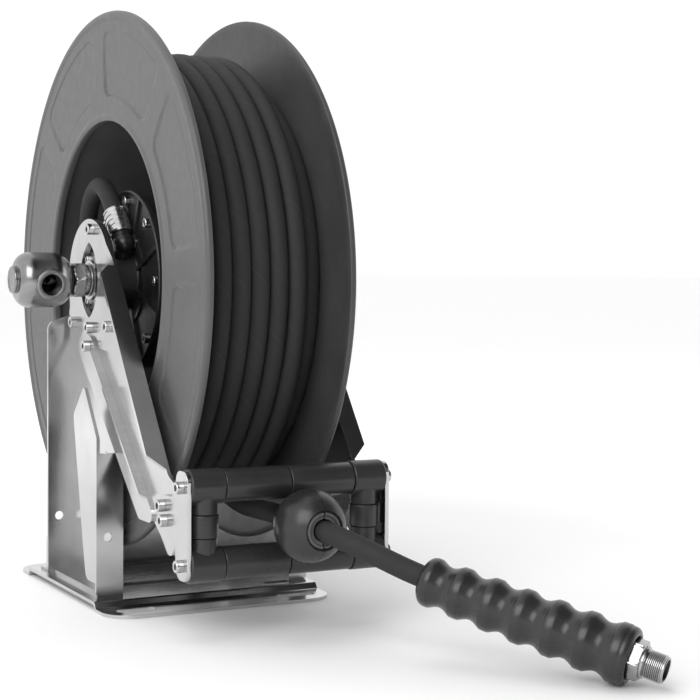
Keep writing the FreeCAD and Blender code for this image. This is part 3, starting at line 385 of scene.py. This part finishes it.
def moulded(name, low, high, rough, grain=2600, bump=0.00004, wear=None, specular=0.5):
    """Moulded plastic: fine texture, mottled tone, and dull or polished patches."""
    look = Look(name)
    cloud = look.noise(22, 4, 0.55)
    patch = look.noise(95, 3, 0.6)
    fine = look.noise(grain, 2, 0.5)
    colour = look.ramp(cloud, [(0.3, grey(low)), (0.7, grey(high))])
    if wear is not None:
        scuff = look.noise(60, 6, 0.75, (0.25, 1, 1))
        colour = look.mix(look.range(scuff, 0, 0.55, 0.58, 0.72), colour, grey(wear))
    shine = look.range(look.add(cloud, patch), rough[0], rough[1], 0.7, 1.3)
    look.bump(look.add(fine, look.add(patch, 0.8, "MULTIPLY")), bump)
    return look.done(colour, shine, specular_ior_level=specular)


def wrapped_rubber(name, low, high):
    """Hose cover: matt rubber with the faint diagonal marks of the curing wrap, in UV metres."""
    look = Look(name)
    split = look.node("SeparateXYZ")
    look.link(look.coords.outputs["UV"], split.inputs[0])
    turn = look.add(look.add(split.outputs["X"], 1 / 0.052, "MULTIPLY"), split.outputs["Y"])
    phase = look.add(turn, 1.0, "FRACT")
    edge = look.range(phase, 1.0, 0.0, 0.0, 0.035)
    band = look.range(phase, 0.35, 0.0, 0.0, 0.5)
    weave = look.noise(2400, 2, 0.5)
    cloud = look.noise(16, 4, 0.6)
    dust = look.noise(210, 3, 0.6)
    tone = look.ramp(look.add(look.add(cloud, 0.7, "MULTIPLY"), look.add(dust, 0.3, "MULTIPLY")),
                     [(0.32, grey(low)), (0.68, grey(high))])
    tone = look.mix(look.add(edge, 0.55, "MULTIPLY"), tone, grey(high * 1.55))
    tone = look.mix(look.add(band, 0.18, "MULTIPLY"), tone, grey(low * 0.7))
    height = look.add(look.add(edge, 1.0, "MULTIPLY"), look.add(weave, 0.35, "MULTIPLY"))
    look.bump(height, 0.00012)
    return look.done(tone, look.range(cloud, 0.62, 0.78, 0.3, 0.7), specular_ior_level=0.32)


ZINC = plated("zinc_sheet", 0.50, 0.60, (0.15, 0.23), bump=0.000008)
ZINC_DULL = plated("zinc_sheet_dull", 0.42, 0.52, (0.24, 0.34), bump=0.00001)
SCREW = machined("screw_zinc", 0.52, 0.68, (0.18, 0.30), 0.00001)
TURNED = machined("turned_steel", 0.36, 0.50, (0.18, 0.30), 0.00001)
DARK = machined("dark_steel", 0.20, 0.36, (0.20, 0.36))
# darker copy of the disc moulding for the far disc: painted shade for its inner face, which gets little light
DISC_PAINTED_SHADE = moulded("far_disc_moulding", 0.050, 0.062, (0.38, 0.50), 1800, 0.00004, wear=0.075)
DISC = moulded("disc_moulding", 0.078, 0.094, (0.36, 0.48), 1800, 0.00004, wear=0.11)
BARREL = moulded("barrel_moulding", 0.060, 0.085, (0.42, 0.55), 1500)
BLACK = moulded("black_moulding", 0.010, 0.018, (0.26, 0.42), 1500)
ROLLER = moulded("roller_moulding", 0.022, 0.032, (0.26, 0.38), 2200, wear=0.045)
STOP = moulded("ball_moulding", 0.018, 0.026, (0.24, 0.33), 2600, 0.00002)
GRIP = moulded("grip_rubber", 0.020, 0.028, (0.22, 0.32), 2000, 0.00003)
INSERT = moulded("insert_moulding", 0.075, 0.105, (0.32, 0.46), 2600)
HOSE = wrapped_rubber("hose_cover", 0.021, 0.029)
INNER = wrapped_rubber("inner_hose_cover", 0.016, 0.024)
BRONZE = machined("bush_bronze", 0.30, 0.45, (0.28, 0.42))
SWIVEL = machined("swivel_steel", 0.24, 0.31, (0.20, 0.28), 0.000005)
# near-black copy of the steel: painted shade for the insides of the outlet bore and the inlet threads
BORE_PAINTED_SHADE = machined("bore_steel", 0.03, 0.06, (0.35, 0.5))
SPRING = machined("spring_steel", 0.28, 0.42, (0.22, 0.36))
SEAL = moulded("seal_rubber", 0.012, 0.02, (0.45, 0.6))

BY_SLOT = {"galvanised": ZINC, "screw_steel": SCREW, "turned_steel": TURNED, "dark_steel": DARK,
           "disc_grey": DISC, "barrel_grey": BARREL, "black_moulding": BLACK,
           "roller_plastic": ROLLER, "hose_rubber": HOSE, "grip_rubber": GRIP,
           "bush_bronze": BRONZE, "spring_steel": SPRING, "seal_rubber": SEAL}
SLOT_OF = {p["node"]: p["material_slot"] for p in frame["record"]["subparts"]}
for node_name, node_object in frame["nodes"].items():
    if not node_object.data.materials:
        node_object.data.materials.append(None)
    for k in range(len(node_object.material_slots)):
        node_object.material_slots[k].material = BY_SLOT[SLOT_OF[node_name]]

# ---- camera ---------------------------------------------------------------------------------
along = Vector((0.4731, 0.8795, -0.0500)).normalized()
right = along.cross(Vector((0, 0, 1))).normalized()
above = right.cross(along)
roll = math.radians(0.50)
right2 = right * math.cos(roll) + above * math.sin(roll)
above2 = above * math.cos(roll) - right * math.sin(roll)
camera_data = bpy.data.cameras.new("camera")
camera_data.lens = 84.78
camera_data.sensor_width = 36
camera = bpy.data.objects.new("camera", camera_data)
camera.matrix_world = Matrix((
    (right2.x, above2.x, -along.x, -0.5755), (right2.y, above2.y, -along.y, -1.4209),
    (right2.z, above2.z, -along.z, 0.2954), (0, 0, 0, 1)))
bpy.context.scene.collection.objects.link(camera)
bpy.context.scene.camera = camera

# ---- free hose: route of the CAD tube, with one more point first, which runs into the winding --
HOSE_ROUTE = [vec(32, -60, 90), vec(32, -86, 83.5), vec(26, -138, 86.5), vec(17, -188, 90.5),
              vec(11.3, -238, 91.8), vec(12.3, -290, 90.3), vec(27, -329, 80.5),
              vec(61.2, -371.0, 59.9), vec(127.4, -465.1, 30.8)]
hose_line = spline_points("hose_route", HOSE_ROUTE, 20)
hose = piece("hose_free_tube", "frame", "hose_rubber", HOSE, *tube(hose_line, 0.0085, 36),
             replaces="hose_free")

STOP_FROM = Vector((11.3, -238, 91.8))
STOP_AXIS = (Vector((12.3, -290, 90.3)) - STOP_FROM).normalized()
STOP_CENTRE = STOP_FROM + STOP_AXIS * 27.2
GRIP_FIRST = Vector((60.9, -370.6, 60.0))
GRIP_AXIS = (Vector((145.4, -490.6, 22.9)) - GRIP_FIRST).normalized()
GRIP_MOUTH = GRIP_FIRST - GRIP_AXIS * 7.5
GRIP_END = 168.7
FITTING = GRIP_END - 7.0


# ---- ball stop: two glossy halves, a chamfered seat and a slit ring ---------------------------
def ball_profile():
    """Section of the ball from its front flat to its rear one, with the bore."""
    r, flat, seat = 29.2, 26.2, 14.9
    edge = math.sqrt(r * r - flat * flat)
    top = math.acos(24.2 / r)
    out = [(flat - 13.5, 9.4), (flat - 13.5, seat), (flat - 3.2, seat),
           (22.9, seat + 0.25), (23.7, seat + 0.9), (24.12, seat + 1.35)]
    for k in range(41):
        angle = top + (math.pi - math.asin(edge / r) - top) * k / 40
        out.append((r * math.cos(angle), r * math.sin(angle)))
    return out + [(-flat, edge - 1.2), (-flat, 10.6), (-flat + 1.2, 9.4)]


level = frame_of(STOP_AXIS)[1]
for side in (-1, 1):
    begin = (-math.pi / 2 if side > 0 else math.pi / 2) + 0.011
    data = lathe(ball_profile(), STOP_CENTRE, STOP_AXIS, 64, True, begin, math.pi - 0.022)
    half_name = "left" if level.x * side < 0 else "right"
    piece("ball_half_" + half_name, "frame", "black_moulding", STOP, *data,
          replaces="ball_stop_" + half_name, angle=40)

ring_profile = soften([(12.4, 9.0, 0), (12.4, 14.4, 0.4), (24.0, 14.4, 0.7), (24.0, 12.4, 0.5),
                       (22.6, 11.4, 0.5), (22.6, 9.0, 0.4)], 3)
ring = [lathe(ring_profile, STOP_CENTRE, STOP_AXIS, 40, True, start, math.pi - 0.13)
        for start in (-math.pi / 2 + 0.065, math.pi / 2 + 0.065)]
insert = piece("stop_ring", "frame", "grip_rubber", INSERT, *merge(ring), replaces="stop_insert")


# ---- grip -------------------------------------------------------------------------------------
def grip_profile():
    """Section of the grip: rounded mouth, seven raised rings with soft waists, recessed end."""
    pitch, count = 25.2, 7
    pts = [(1.2, 9.2), (0.35, 9.9), (0.0, 10.7), (0.2, 12.0),
           (0.9, 13.7), (2.2, 15.9), (3.5, 17.4), (5.0, 18.4)]
    for k in range(count):
        mid = 7.5 + pitch * k
        r = 19.0 + 3.4 * k / (count - 1)
        if k:
            pts += [(mid - 4.4, r - 0.95), (mid - 3.9, r - 0.36), (mid - 3.0, r + 0.0)]
        pts += [(mid, r + 0.1), (mid + 2.6, r + 0.0), (mid + 3.5, r - 0.3), (mid + 4.1, r - 0.55)]
        if k < count - 1:
            for s in (0.05, 0.12, 0.25, 0.38, 0.5, 0.62, 0.75, 0.88, 0.95):
                base = r + 3.4 / (count - 1) * s
                pts.append((mid + 4.2 + (pitch - 8.6) * s,
                            base - 0.75 - 2.9 * math.sin(math.pi * s) ** 1.1))
    return pts + [(GRIP_END - 4.4, 22.0), (GRIP_END - 2.6, 21.6), (GRIP_END - 1.2, 20.7),
                  (GRIP_END - 0.3, 19.2), (GRIP_END, 17.9), (GRIP_END, 17.0),
                  (GRIP_END - 0.5, 16.5), (GRIP_END - 4.8, 16.4),
                  (GRIP_END - 5.0, 16.0), (GRIP_END - 5.0, 11.2)]


data = lathe(grip_profile(), GRIP_MOUTH, GRIP_AXIS, 128, False)
grip = piece("grip_sleeve", "frame", "grip_rubber", GRIP, *data, replaces="hose_grip", angle=50)


# ---- end fitting --------------------------------------------------------------------------------
def hex_prism(start, axis, flats, length, chamfer, steps=16):
    """Hexagon with the turned chamfers of a real one, open at its middle."""
    a, b, c = frame_of(axis)
    reach = flats / math.sqrt(3)
    around_count = 6 * steps
    def outline(limit):
        pts = []
        for k in range(around_count):
            ang = math.tau * k / around_count
            local = (ang + math.pi / 6) % (math.pi / 3) - math.pi / 6
            local = abs(local)
            away = (flats / 2) / math.cos(math.pi / 6 - local)
            pts.append((ang, min(away, limit)))
        return pts
    levels = [(0, flats / 2 - 1.4), (0.0, flats / 2 - 0.3),
              (chamfer * 0.5, flats / 2 + (reach - flats / 2) * 0.5),
              (chamfer, reach), (length - chamfer, reach),
              (length - chamfer * 0.5, flats / 2 + (reach - flats / 2) * 0.5),
              (length, flats / 2 - 0.3), (length, flats / 2 - 1.4)]
    verts, faces, uvs = [], [], []
    for t, limit in levels:
        for ang, r in outline(limit):
            p = Vector(start) + a * t + (b * math.cos(ang) + c * math.sin(ang)) * r
            verts.append(tuple(p * MM))
    n = around_count
    for k in range(len(levels) - 1):
        for j in range(n):
            faces.append((k * n + j, k * n + (j + 1) % n, (k + 1) * n + (j + 1) % n, (k + 1) * n + j))
            uvs += [(0, 0), (0, 1), (1, 1), (1, 0)]
    faces += [tuple(reversed(range(n))), tuple(range((len(levels) - 1) * n, len(levels) * n))]
    uvs += [(0, 0)] * (2 * n)
    return verts, faces, uvs


def threads(start, end, outer, depth, pitch):
    """Profile of a run of rounded thread crests."""
    pts = []
    t = start
    while t + pitch <= end + 1e-6:
        pts += [(t, outer - depth), (t + pitch * 0.38, outer - 0.05), (t + pitch * 0.62, outer - 0.05)]
        t += pitch
    pts.append((t, outer - depth))
    return pts


tail = soften([(FITTING - 20, 10.9, 0), (FITTING + 3.2, 10.9, 0.4), (FITTING + 3.2, 8.0, 0),
               (FITTING - 20, 8.0, 0)], 3)
collar_end = FITTING + 15.0
body_profile = [(collar_end - 0.4, 8), (collar_end - 0.4, 11.7), (collar_end + 1.0, 11.9),
                (collar_end + 1.9, 11.6), (collar_end + 2.2, 9.2)]
body_profile += threads(collar_end + 3.2, FITTING + 30.8, 10.5, 0.95, 1.34)
body_profile += [(FITTING + 31.4, 9.7), (FITTING + 32.0, 9.2), (FITTING + 32.0, 8.3),
                 (FITTING + 27.0, 5.6), (FITTING + 12, 5.6)]
fitting = merge([hex_prism(GRIP_MOUTH + GRIP_AXIS * (FITTING + 3), GRIP_AXIS, 27, 12, 1.5),
                 lathe(tail, GRIP_MOUTH, GRIP_AXIS, 72),
                 lathe(body_profile, GRIP_MOUTH, GRIP_AXIS, 96, False)])
fitting = piece("outlet_fitting", "frame", "turned_steel", TURNED, *fitting, replaces="end_fitting",
                angle=30)
# dark lining with a closed floor inside the outlet: painted shade for the depth of the bore
bore = lathe([(FITTING + 16, 0.01), (FITTING + 16, 5.5), (FITTING + 27.1, 5.5), (FITTING + 31.7, 8.1)],
             GRIP_MOUTH, GRIP_AXIS, 48, False)
bore = piece("outlet_bore", "frame", "dark_steel", BORE_PAINTED_SHADE, *bore)


# ---- wound hose: six turns over a full lower layer -------------------------------------------
def turns(count, radius, first_x, pitch, crossing, steps=150):
    """Helix that lies in level rings and steps across at the rear; its last ring closes."""
    points = []
    total = int(steps * count)
    for k in range(total + 1):
        turn = k / steps
        whole, share = int(turn), turn - int(turn)
        step = min(max((share - crossing) / 0.16, 0), 1)
        step = step * step * (3 - 2 * step)
        x = first_x + pitch * min(whole + step, count - 1)
        angle = math.tau * share
        points.append((x * MM, -radius * math.sin(angle) * MM,
                       (AXIS_Z - radius * math.cos(angle)) * MM))
    return points


outer = tube(turns(6, 197.9, -52.6, 16.88, 0.62), 0.00845, 26)
lower = tube(turns(7, 181.1, -52.5, 17.4, 0.66), 0.0084, 22)
piece("hose_winding", "drum", "hose_rubber", HOSE, *merge([outer, lower]),
      replaces="wound_hose")


# ---- drum discs ---------------------------------------------------------------------------------
def smooth(x, low, high):
    s = np.clip((x - low) / (high - low), 0, 1)
    return s * s * (3 - 2 * s)


def drum_disc(side):
    """Rolled rim, shallow soft-cornered panels with a groove round them, and a rounded lip."""
    steps = 576
    radii = np.concatenate([[143.2, 143.6, 144.4, 145.6, 147, 148.4, 149.6, 150.6, 151.6, 153, 156, 159.5],
                            np.arange(161.5, 176, 0.9), np.arange(176, 214, 2.4),
                            np.arange(214, 225, 0.9), [226, 228.5, 230.5, 231.6, 232.6, 233.6, 234.8,
                                                       236, 237.2, 238.3, 239.1, 239.7, 240.0]])
    lip = 66.5 - 1.9 * (1 - np.sqrt(np.clip(1 - ((radii - 146.6) / 3.6) ** 2, 0, 1)))
    front = np.where(radii < 150.2, np.maximum(lip, 64.4), 65.5)
    rim = 65.5 + 1.0 * smooth(radii, 231.2, 234.6)
    front = np.where(radii > 231, rim, front)
    front = np.where(radii > 236.4, 66.5 - 3.3 * (1 - np.sqrt(np.clip(
        1 - ((radii - 236.4) / 3.62) ** 2, 0, 1))), front)
    phi = math.tau * np.arange(steps) / steps
    r, p = np.meshgrid(radii, phi)
    nearest = (p - math.radians(86)) / (math.tau / 8)
    off = (nearest - np.round(nearest)) * (math.tau / 8)
    band = r * np.abs(np.sin(off)) - 15.0
    cross = np.minimum(r - 164.0, 222.0 - r)
    corner = 11.0
    inside = np.where((band < corner) & (cross < corner),
                      corner - np.hypot(np.maximum(corner - band, 0), np.maximum(corner - cross, 0)),
                      np.minimum(band, cross))
    fade = 1 - 0.45 * smooth(r, 178, 220)
    depth = 1.12 * smooth(inside, -0.4, 0.9) * fade
    groove = 0.55 * np.exp(-((inside - 0.6) / 0.75) ** 2) * fade
    height = front[None, :] - depth - groove
    back = soften([(61.4, 240.0, 0), (60.6, 239.4, 0), (60.5, 238.0, 0), (60.5, 234.0, 0),
                   (61.5, 231.0, 0), (61.5, 149.5, 0), (60.2, 148.2, 0), (58.8, 147.8, 0),
                   (58.5, 147.0, 0), (58.5, 144.4, 0), (59.2, 143.3, 0), (60.6, 143.0, 0),
                   (63.8, 143.0, 0)], 2)
    back_w = np.tile([w for w, _ in back], (steps, 1))
    back_r = np.tile([q for _, q in back], (steps, 1))
    w = np.concatenate([height, back_w], axis=1) * side
    rr = np.concatenate([r, back_r], axis=1)
    pp = np.tile(phi[:, None], (1, w.shape[1]))
    verts = np.stack([w, -rr * np.sin(pp), AXIS_Z + rr * np.cos(pp)], axis=-1).reshape(-1, 3) * MM
    n = w.shape[1]
    k, j = np.meshgrid(np.arange(steps), np.arange(n), indexing="ij")
    k2, j2 = (k + 1) % steps, (j + 1) % n
    faces = np.stack([k * n + j, k2 * n + j, k2 * n + j2, k * n + j2], axis=-1).reshape(-1, 4)
    return verts, faces.tolist()


# the right disc takes the darker copy of the moulding, as painted shade
for side, name in ((-1, "left"), (1, "right")):
    piece(name + "_disc_moulding", "drum", "disc_grey", DISC if side < 0 else DISC_PAINTED_SHADE, *drum_disc(side),
          replaces=name + "_disc", angle=48)

# ---- folded sheet frame ---------------------------------------------------------------------------
for node in ("left_post", "right_post", "left_arm", "right_arm", "left_arm_brace", "right_arm_brace",
             "left_end_plate", "right_end_plate", "base_plate", "rear_tie_panel", "deck_cross_plate"):
    dull = node in ("deck_cross_plate",)
    edged(node, ZINC_DULL if dull else ZINC, 0.45)


# ---- socket screws --------------------------------------------------------------------------------
def socket_screw(seat, outward, head_r, head_h, flats):
    """Head with knurled side, chamfered rim and a hexagon socket."""
    a, b, c = frame_of(outward)
    seat = Vector(seat)
    count = 72
    reach = flats / math.sqrt(3)
    def ring(t, radii):
        return [tuple((seat + a * t + (b * math.cos(math.tau * k / count)
                                       + c * math.sin(math.tau * k / count)) * radii[k]) * MM)
                for k in range(count)]
    def hexa(scale):
        out = []
        for k in range(count):
            local = (math.tau * k / count) % (math.pi / 3)
            out.append(scale * (flats / 2) / math.cos(local - math.pi / 6))
        return out
    knurl = [head_r - (0.16 if k % 2 else 0.0) for k in range(count)]
    plain = lambda r: [r] * count
    levels = [ring(0.02, plain(head_r - 0.3)), ring(0.25, plain(head_r - 0.1)), ring(0.5, knurl),
              ring(head_h * 0.74, knurl), ring(head_h * 0.78, plain(head_r - 0.05)),
              ring(head_h - 0.45, plain(head_r - 0.06)), ring(head_h - 0.12, plain(head_r - 0.3)),
              ring(head_h, plain(head_r - 0.65)), ring(head_h, plain(reach + 0.45)),
              ring(head_h - 0.3, hexa(1.0)), ring(head_h * 0.45, hexa(0.99)),
              ring(head_h * 0.38, plain(0.001))]
    verts = [p for level in levels for p in level]
    faces = [(m * count + k, m * count + (k + 1) % count, (m + 1) * count + (k + 1) % count,
              (m + 1) * count + k) for m in range(len(levels) - 1) for k in range(count)]
    return verts, faces, [(0, 0)] * (4 * len(faces))


HEADS = [(-10, 327.5), (36, 243), (-7, 239.5), (-56, 242)]
LOBES = [(-190, 103), (-195, 91.5)]
# seats of the screw heads, from the middle plane outwards
ARM_FACE, BRACE_FACE, PLATE_FACE, HOUSING_FACE = 86.5, 89.0, 90.0, 80.5
M6_HEAD = (5.0, 6.0, 5.0)         # head radius, head height, width of the socket
M4_HEAD = (3.5, 4.0, 3.0)
for node, material, places in (
        ("head_screws", SCREW,
         [(ARM_FACE, y, z, *M6_HEAD) for y, z in HEADS] + [(BRACE_FACE, -7, 223, *M6_HEAD)]),
        ("guide_screws", SCREW,
         [(PLATE_FACE, -229, 122, *M6_HEAD), (PLATE_FACE, -229, 60, *M6_HEAD)]
         + [(PLATE_FACE, y, z, *M6_HEAD) for y, z in LOBES]),
        ("bearing_screws", SCREW,
         [(HOUSING_FACE, y, AXIS_Z + z, *M4_HEAD) for y in (-12.5, 12.5) for z in (-18.5, 18.5)])):
    parts = []
    for side in (-1, 1):
        for u, y, z, head_r, head_h, flats in places:
            parts.append(socket_screw((MID + side * u, y, z), (side, 0, 0), head_r, head_h, flats))
    piece(node + "_heads", "frame", "screw_steel", material, *merge(parts), replaces=node, angle=32)
parts = []
for k in range(8):
    angle = math.tau * k / 8
    parts.append(socket_screw((-41, -72 * math.sin(angle), AXIS_Z + 72 * math.cos(angle)), (-1, 0, 0),
                              4.25, 5.0, 4.0))
piece("cover_screw_heads", "drum", "screw_steel", SCREW, *merge(parts), replaces="cover_screws", angle=32)

# ---- turned and moulded pieces with eased edges -----------------------------------------------------
for node, slot, material, width in (
        ("left_top_corner", "roller_plastic", ROLLER, 0.5),
        ("right_top_corner", "roller_plastic", ROLLER, 0.5),
        ("left_bottom_corner", "roller_plastic", ROLLER, 0.5),
        ("right_bottom_corner", "roller_plastic", ROLLER, 0.5),
        ("left_bearing_housing", "galvanised", ZINC, 0.4),
        ("arbor_flange", "galvanised", ZINC, 0.4), ("spring_cover", "black_moulding", BLACK, 0.35),
        ("hub_web", "black_moulding", BLACK, 0.5), ("ratchet_wheel", "dark_steel", DARK, 0.4),
        ("pawl", "dark_steel", DARK, 0.4)):
    edged(node, material, width, 2, 30, flat=0.05)

for name, centre_z in (("top", 122.0), ("bottom", 60.0)):
    for side, where in ((-1, "left"), (1, "right")):
        node = f"{name}_roller_{where}"
        start = 0.4
        length = 86.5 - 29.0 - 0.8
        profile = soften([(start, 4.2, 0.2), (start, 13.4, 1.1), (start + length, 13.4, 1.1),
                          (start + length, 4.2, 0.2)], 5)
        piece(node + "_sleeve", node, "roller_plastic", ROLLER,
              *lathe(profile, (MID, -229, centre_z), (side, 0, 0), 96), replaces=node)
for side, where in ((-1, "left"), (1, "right")):
    node = "side_roller_" + where
    profile = soften([(81.9, 3.7, 0.2), (81.9, 12.2, 1.0), (100.1, 12.2, 1.0), (100.1, 3.7, 0.2)], 5)
    piece(node + "_sleeve", node, "roller_plastic", ROLLER,
          *lathe(profile, (MID + side * 72.0, -229, 0), (0, 0, 1), 96), replaces=node)

# ---- swivel -----------------------------------------------------------------------------------------
collar = lathe(soften([(10.4, 12.0, 0), (10.4, 14.2, 0.3), (17.1, 14.2, 0.6), (17.1, 12.0, 0)], 3),
               (-96.5, 0, AXIS_Z), (1, 0, 0), 72)
nut = merge([hex_prism((-96.5, 0, AXIS_Z), (1, 0, 0), 30, 10.5, 1.6, 18), collar])
piece("swivel_hexagon", "drum", "screw_steel", SWIVEL, *nut, replaces="swivel_nut", angle=30)
cap = lathe(soften([(0, 0.01, 0), (0, 12.6, 0.2), (1.1, 12.6, 0.3), (1.3, 11.4, 0.1), (1.9, 11.4, 0.1),
                    (2.1, 12.2, 0.2), (3.5, 11.8, 0.6), (3.5, 9.4, 0.3), (3.0, 8.9, 0.2), (3.0, 0.01, 0)], 4),
            (-147, 0, AXIS_Z), (-1, 0, 0), 96, False)
piece("swivel_end_cap", "swivel", "turned_steel", SWIVEL, *cap, replaces="swivel_cap", angle=34)
TILT = math.radians(9)
IN = Vector((0, math.cos(TILT), math.sin(TILT)))
AXIS_POINT = Vector((-121.5, 0, AXIS_Z))
dome = [(0.0, 9.5), (0.0, 13.0), (0.25, 13.6)]
for k in range(1, 15):
    angle = math.pi / 2 * k / 14
    dome.append((0.25 + 12.2 * (1 - math.cos(angle)), 13.6 + 10.9 * math.sin(angle)))
dome += [(12.45 + 2.2 * k, 24.5) for k in range(1, 9)]
for k in range(1, 15):
    angle = math.pi / 2 * k / 14
    dome.append((30.05 + 16.9 * math.sin(angle), 15.4 + 9.1 * math.cos(angle)))
dome += [(47.5, 14.6), (47.5, 9.5)]
verts, faces, uvs = lathe(dome, (-147, 0, AXIS_Z), (1, 0, 0), 144, False)
kept, kept_uvs = [], []
for k, face in enumerate(faces):
    centre = Vector(np.mean([verts[i] for i in face], axis=0)) / MM - AXIS_POINT
    reach = -centre.dot(IN)
    if reach < 0 or (centre + IN * reach).length > 11.3:
        kept.append(face)
        kept_uvs += uvs[4 * k:4 * k + 4]
boss = lathe(soften([(0.0, 9.3, 0.5), (0.0, 13.5, 0.8), (12.0, 13.5, 0), (12.0, 9.3, 0)], 4),
             AXIS_POINT - IN * 26, IN, 96)
piece("swivel_dome", "swivel", "turned_steel", SWIVEL, *merge([(verts, kept, kept_uvs), boss]),
      replaces="swivel_body", angle=34)
# the inlet's thread lining is near-black steel: painted shade inside the inlet hole
liner = [(0.3, 9.28), (0.9, 9.2)]
for k in range(7):
    t = 1.0 + 1.814 * k
    liner += [(t, 9.2), (t + 0.7, 8.5), (t + 1.1, 8.5), (t + 1.8, 9.2)]
piece("inlet_threads", "swivel", "dark_steel", BORE_PAINTED_SHADE,
      *lathe(liner, (-121.5, -26 * math.cos(TILT), AXIS_Z - 26 * math.sin(TILT)),
             (0, math.cos(TILT), math.sin(TILT)), 72, False), angle=30)

# ---- hub fittings and inner hose --------------------------------------------------------------------
ELBOW = Vector((-52, -18, 315))
FERRULE = Vector((-52, 6.5, 343.5))
direction = (FERRULE - ELBOW).normalized()
length = (FERRULE - ELBOW).length
crimps = [(10, 5.2), (10, 9.6), (11.2, 10.9)]
for k in range(4):
    t = 12.6 + 5.6 * k
    crimps += [(t, 11.0), (t + 3.2, 11.0), (t + 3.7, 10.5), (t + 4.6, 10.5), (t + 5.1, 11.0)]
crimps += [(length - 1.2, 10.95), (length - 0.2, 10.2), (length, 8.7), (length - 2, 5.2)]
down = (Vector((-39, 108, 266)) - Vector((-43, 108, 314))).normalized()
second = [(0, 8.6), (0.4, 10.2), (1.4, 11.0), (7, 11.0), (7.6, 10.5), (8.6, 10.5), (9.2, 11.0),
          (16, 11.0), (16.6, 10.5), (17.6, 10.5), (18.2, 11.0), (23, 10.9), (24, 9.8), (24, 5.2)]
piece("crimped_sleeves", "drum", "screw_steel", SCREW,
      *merge([lathe(crimps, ELBOW, direction, 72, False), lathe(second, (-39, 108, 266), down, 72, False)]),
      replaces="inner_ferrules", angle=30)
INNER_ROUTE = [vec(-52, 6.5, 343.5), vec(-52, 35, 376.5), vec(-49, 84, 358), vec(-43, 108, 314),
               vec(-39, 108, 266)]
inner_line = spline_points("inner_route", INNER_ROUTE, 20)
inner = piece("inner_hose_tube", "drum", "hose_rubber", INNER, *tube(inner_line, 0.0085, 32),
              replaces="inner_hose")

# ---- floor and light ----------------------------------------------------------------------------------
floor_mesh = bpy.data.meshes.new("floor")
floor_mesh.from_pydata([(-60, -60, 0), (60, -60, 0), (60, 60, 0), (-60, 60, 0)], [], [(0, 1, 2, 3)])
floor_look = Look("floor")
tone = floor_look.noise(3, 3, 0.5)
away = floor_look.node("VectorMath")
away.operation = "LENGTH"
floor_look.link(floor_look.coords.outputs["Object"], away.inputs[0])
floor_look.link(floor_look.range(away.outputs["Value"], 0.0, 0.32, 0.55, 1.5),
                floor_look.shader.inputs["Emission Strength"])
floor_mesh.materials.append(floor_look.done(
    floor_look.ramp(tone, [(0.3, grey(0.88)), (0.7, grey(0.90))]), None, roughness=0.75,
    emission_color=(1, 1, 1, 1)))
floor = bpy.data.objects.new("floor", floor_mesh)
bpy.context.scene.collection.objects.link(floor)

world = bpy.data.worlds.new("studio")
bpy.context.scene.world = world
world.use_nodes = True
nodes, links = world.node_tree.nodes, world.node_tree.links
place = nodes.new("ShaderNodeTexCoord")


def dark_patch(colour, direction, inner, outer, tone):
    """The sky's colour with a soft round patch of tone about a direction, angles in degrees."""
    dot = nodes.new("ShaderNodeVectorMath")
    dot.operation = "DOT_PRODUCT"
    dot.inputs[1].default_value = Vector(direction).normalized()
    links.new(place.outputs["Generated"], dot.inputs[0])
    share = nodes.new("ShaderNodeMapRange")
    share.interpolation_type = "SMOOTHSTEP"
    share.inputs["From Min"].default_value = math.cos(math.radians(outer))
    share.inputs["From Max"].default_value = math.cos(math.radians(inner))
    links.new(dot.outputs["Value"], share.inputs["Value"])
    mix = nodes.new("ShaderNodeMix")
    mix.data_type = "RGBA"
    links.new(share.outputs["Result"], mix.inputs[0])
    if colour is None:
        mix.inputs[6].default_value = (1, 1, 1, 1)
    else:
        links.new(colour, mix.inputs[6])
    mix.inputs[7].default_value = (*grey(tone), 1)
    return mix.outputs[2]


sky = dark_patch(None, (0.2, -1.0, 0.35), 20, 75, 0.34)
sky = dark_patch(sky, (0.47, -0.30, 0.83), 16, 44, 0.03)
sky = dark_patch(sky, (0.47, -0.88, -0.05), 10, 30, 0.03)
links.new(sky, nodes["Background"].inputs["Color"])
nodes["Background"].inputs["Strength"].default_value = 1.05
bpy.context.scene.view_settings.view_transform = "Standard"


def area(name, place, target, size, power, shown=True):
    light = bpy.data.lights.new(name, "AREA")
    light.shape = "RECTANGLE"
    light.size, light.size_y = size
    light.energy = power
    obj = bpy.data.objects.new(name, light)
    obj.location = place
    obj.rotation_euler = (Vector(target) - Vector(place)).to_track_quat("-Z", "Y").to_euler()
    obj.visible_glossy = shown
    bpy.context.scene.collection.objects.link(obj)


area("key", (-1.5, -1.5, 1.5), (0, 0, 0.2), (1.7, 1.7), 30)
area("fill", (1.9, -1.2, 1.0), (0, 0, 0.25), (1.0, 1.6), 5, False)
area("top", (0.0, 0.2, 2.3), (0, 0, 0.2), (1.8, 1.8), 16, False)
area("rim", (-0.7, 1.9, 1.2), (0, 0, 0.3), (1.2, 0.9), 10, False)
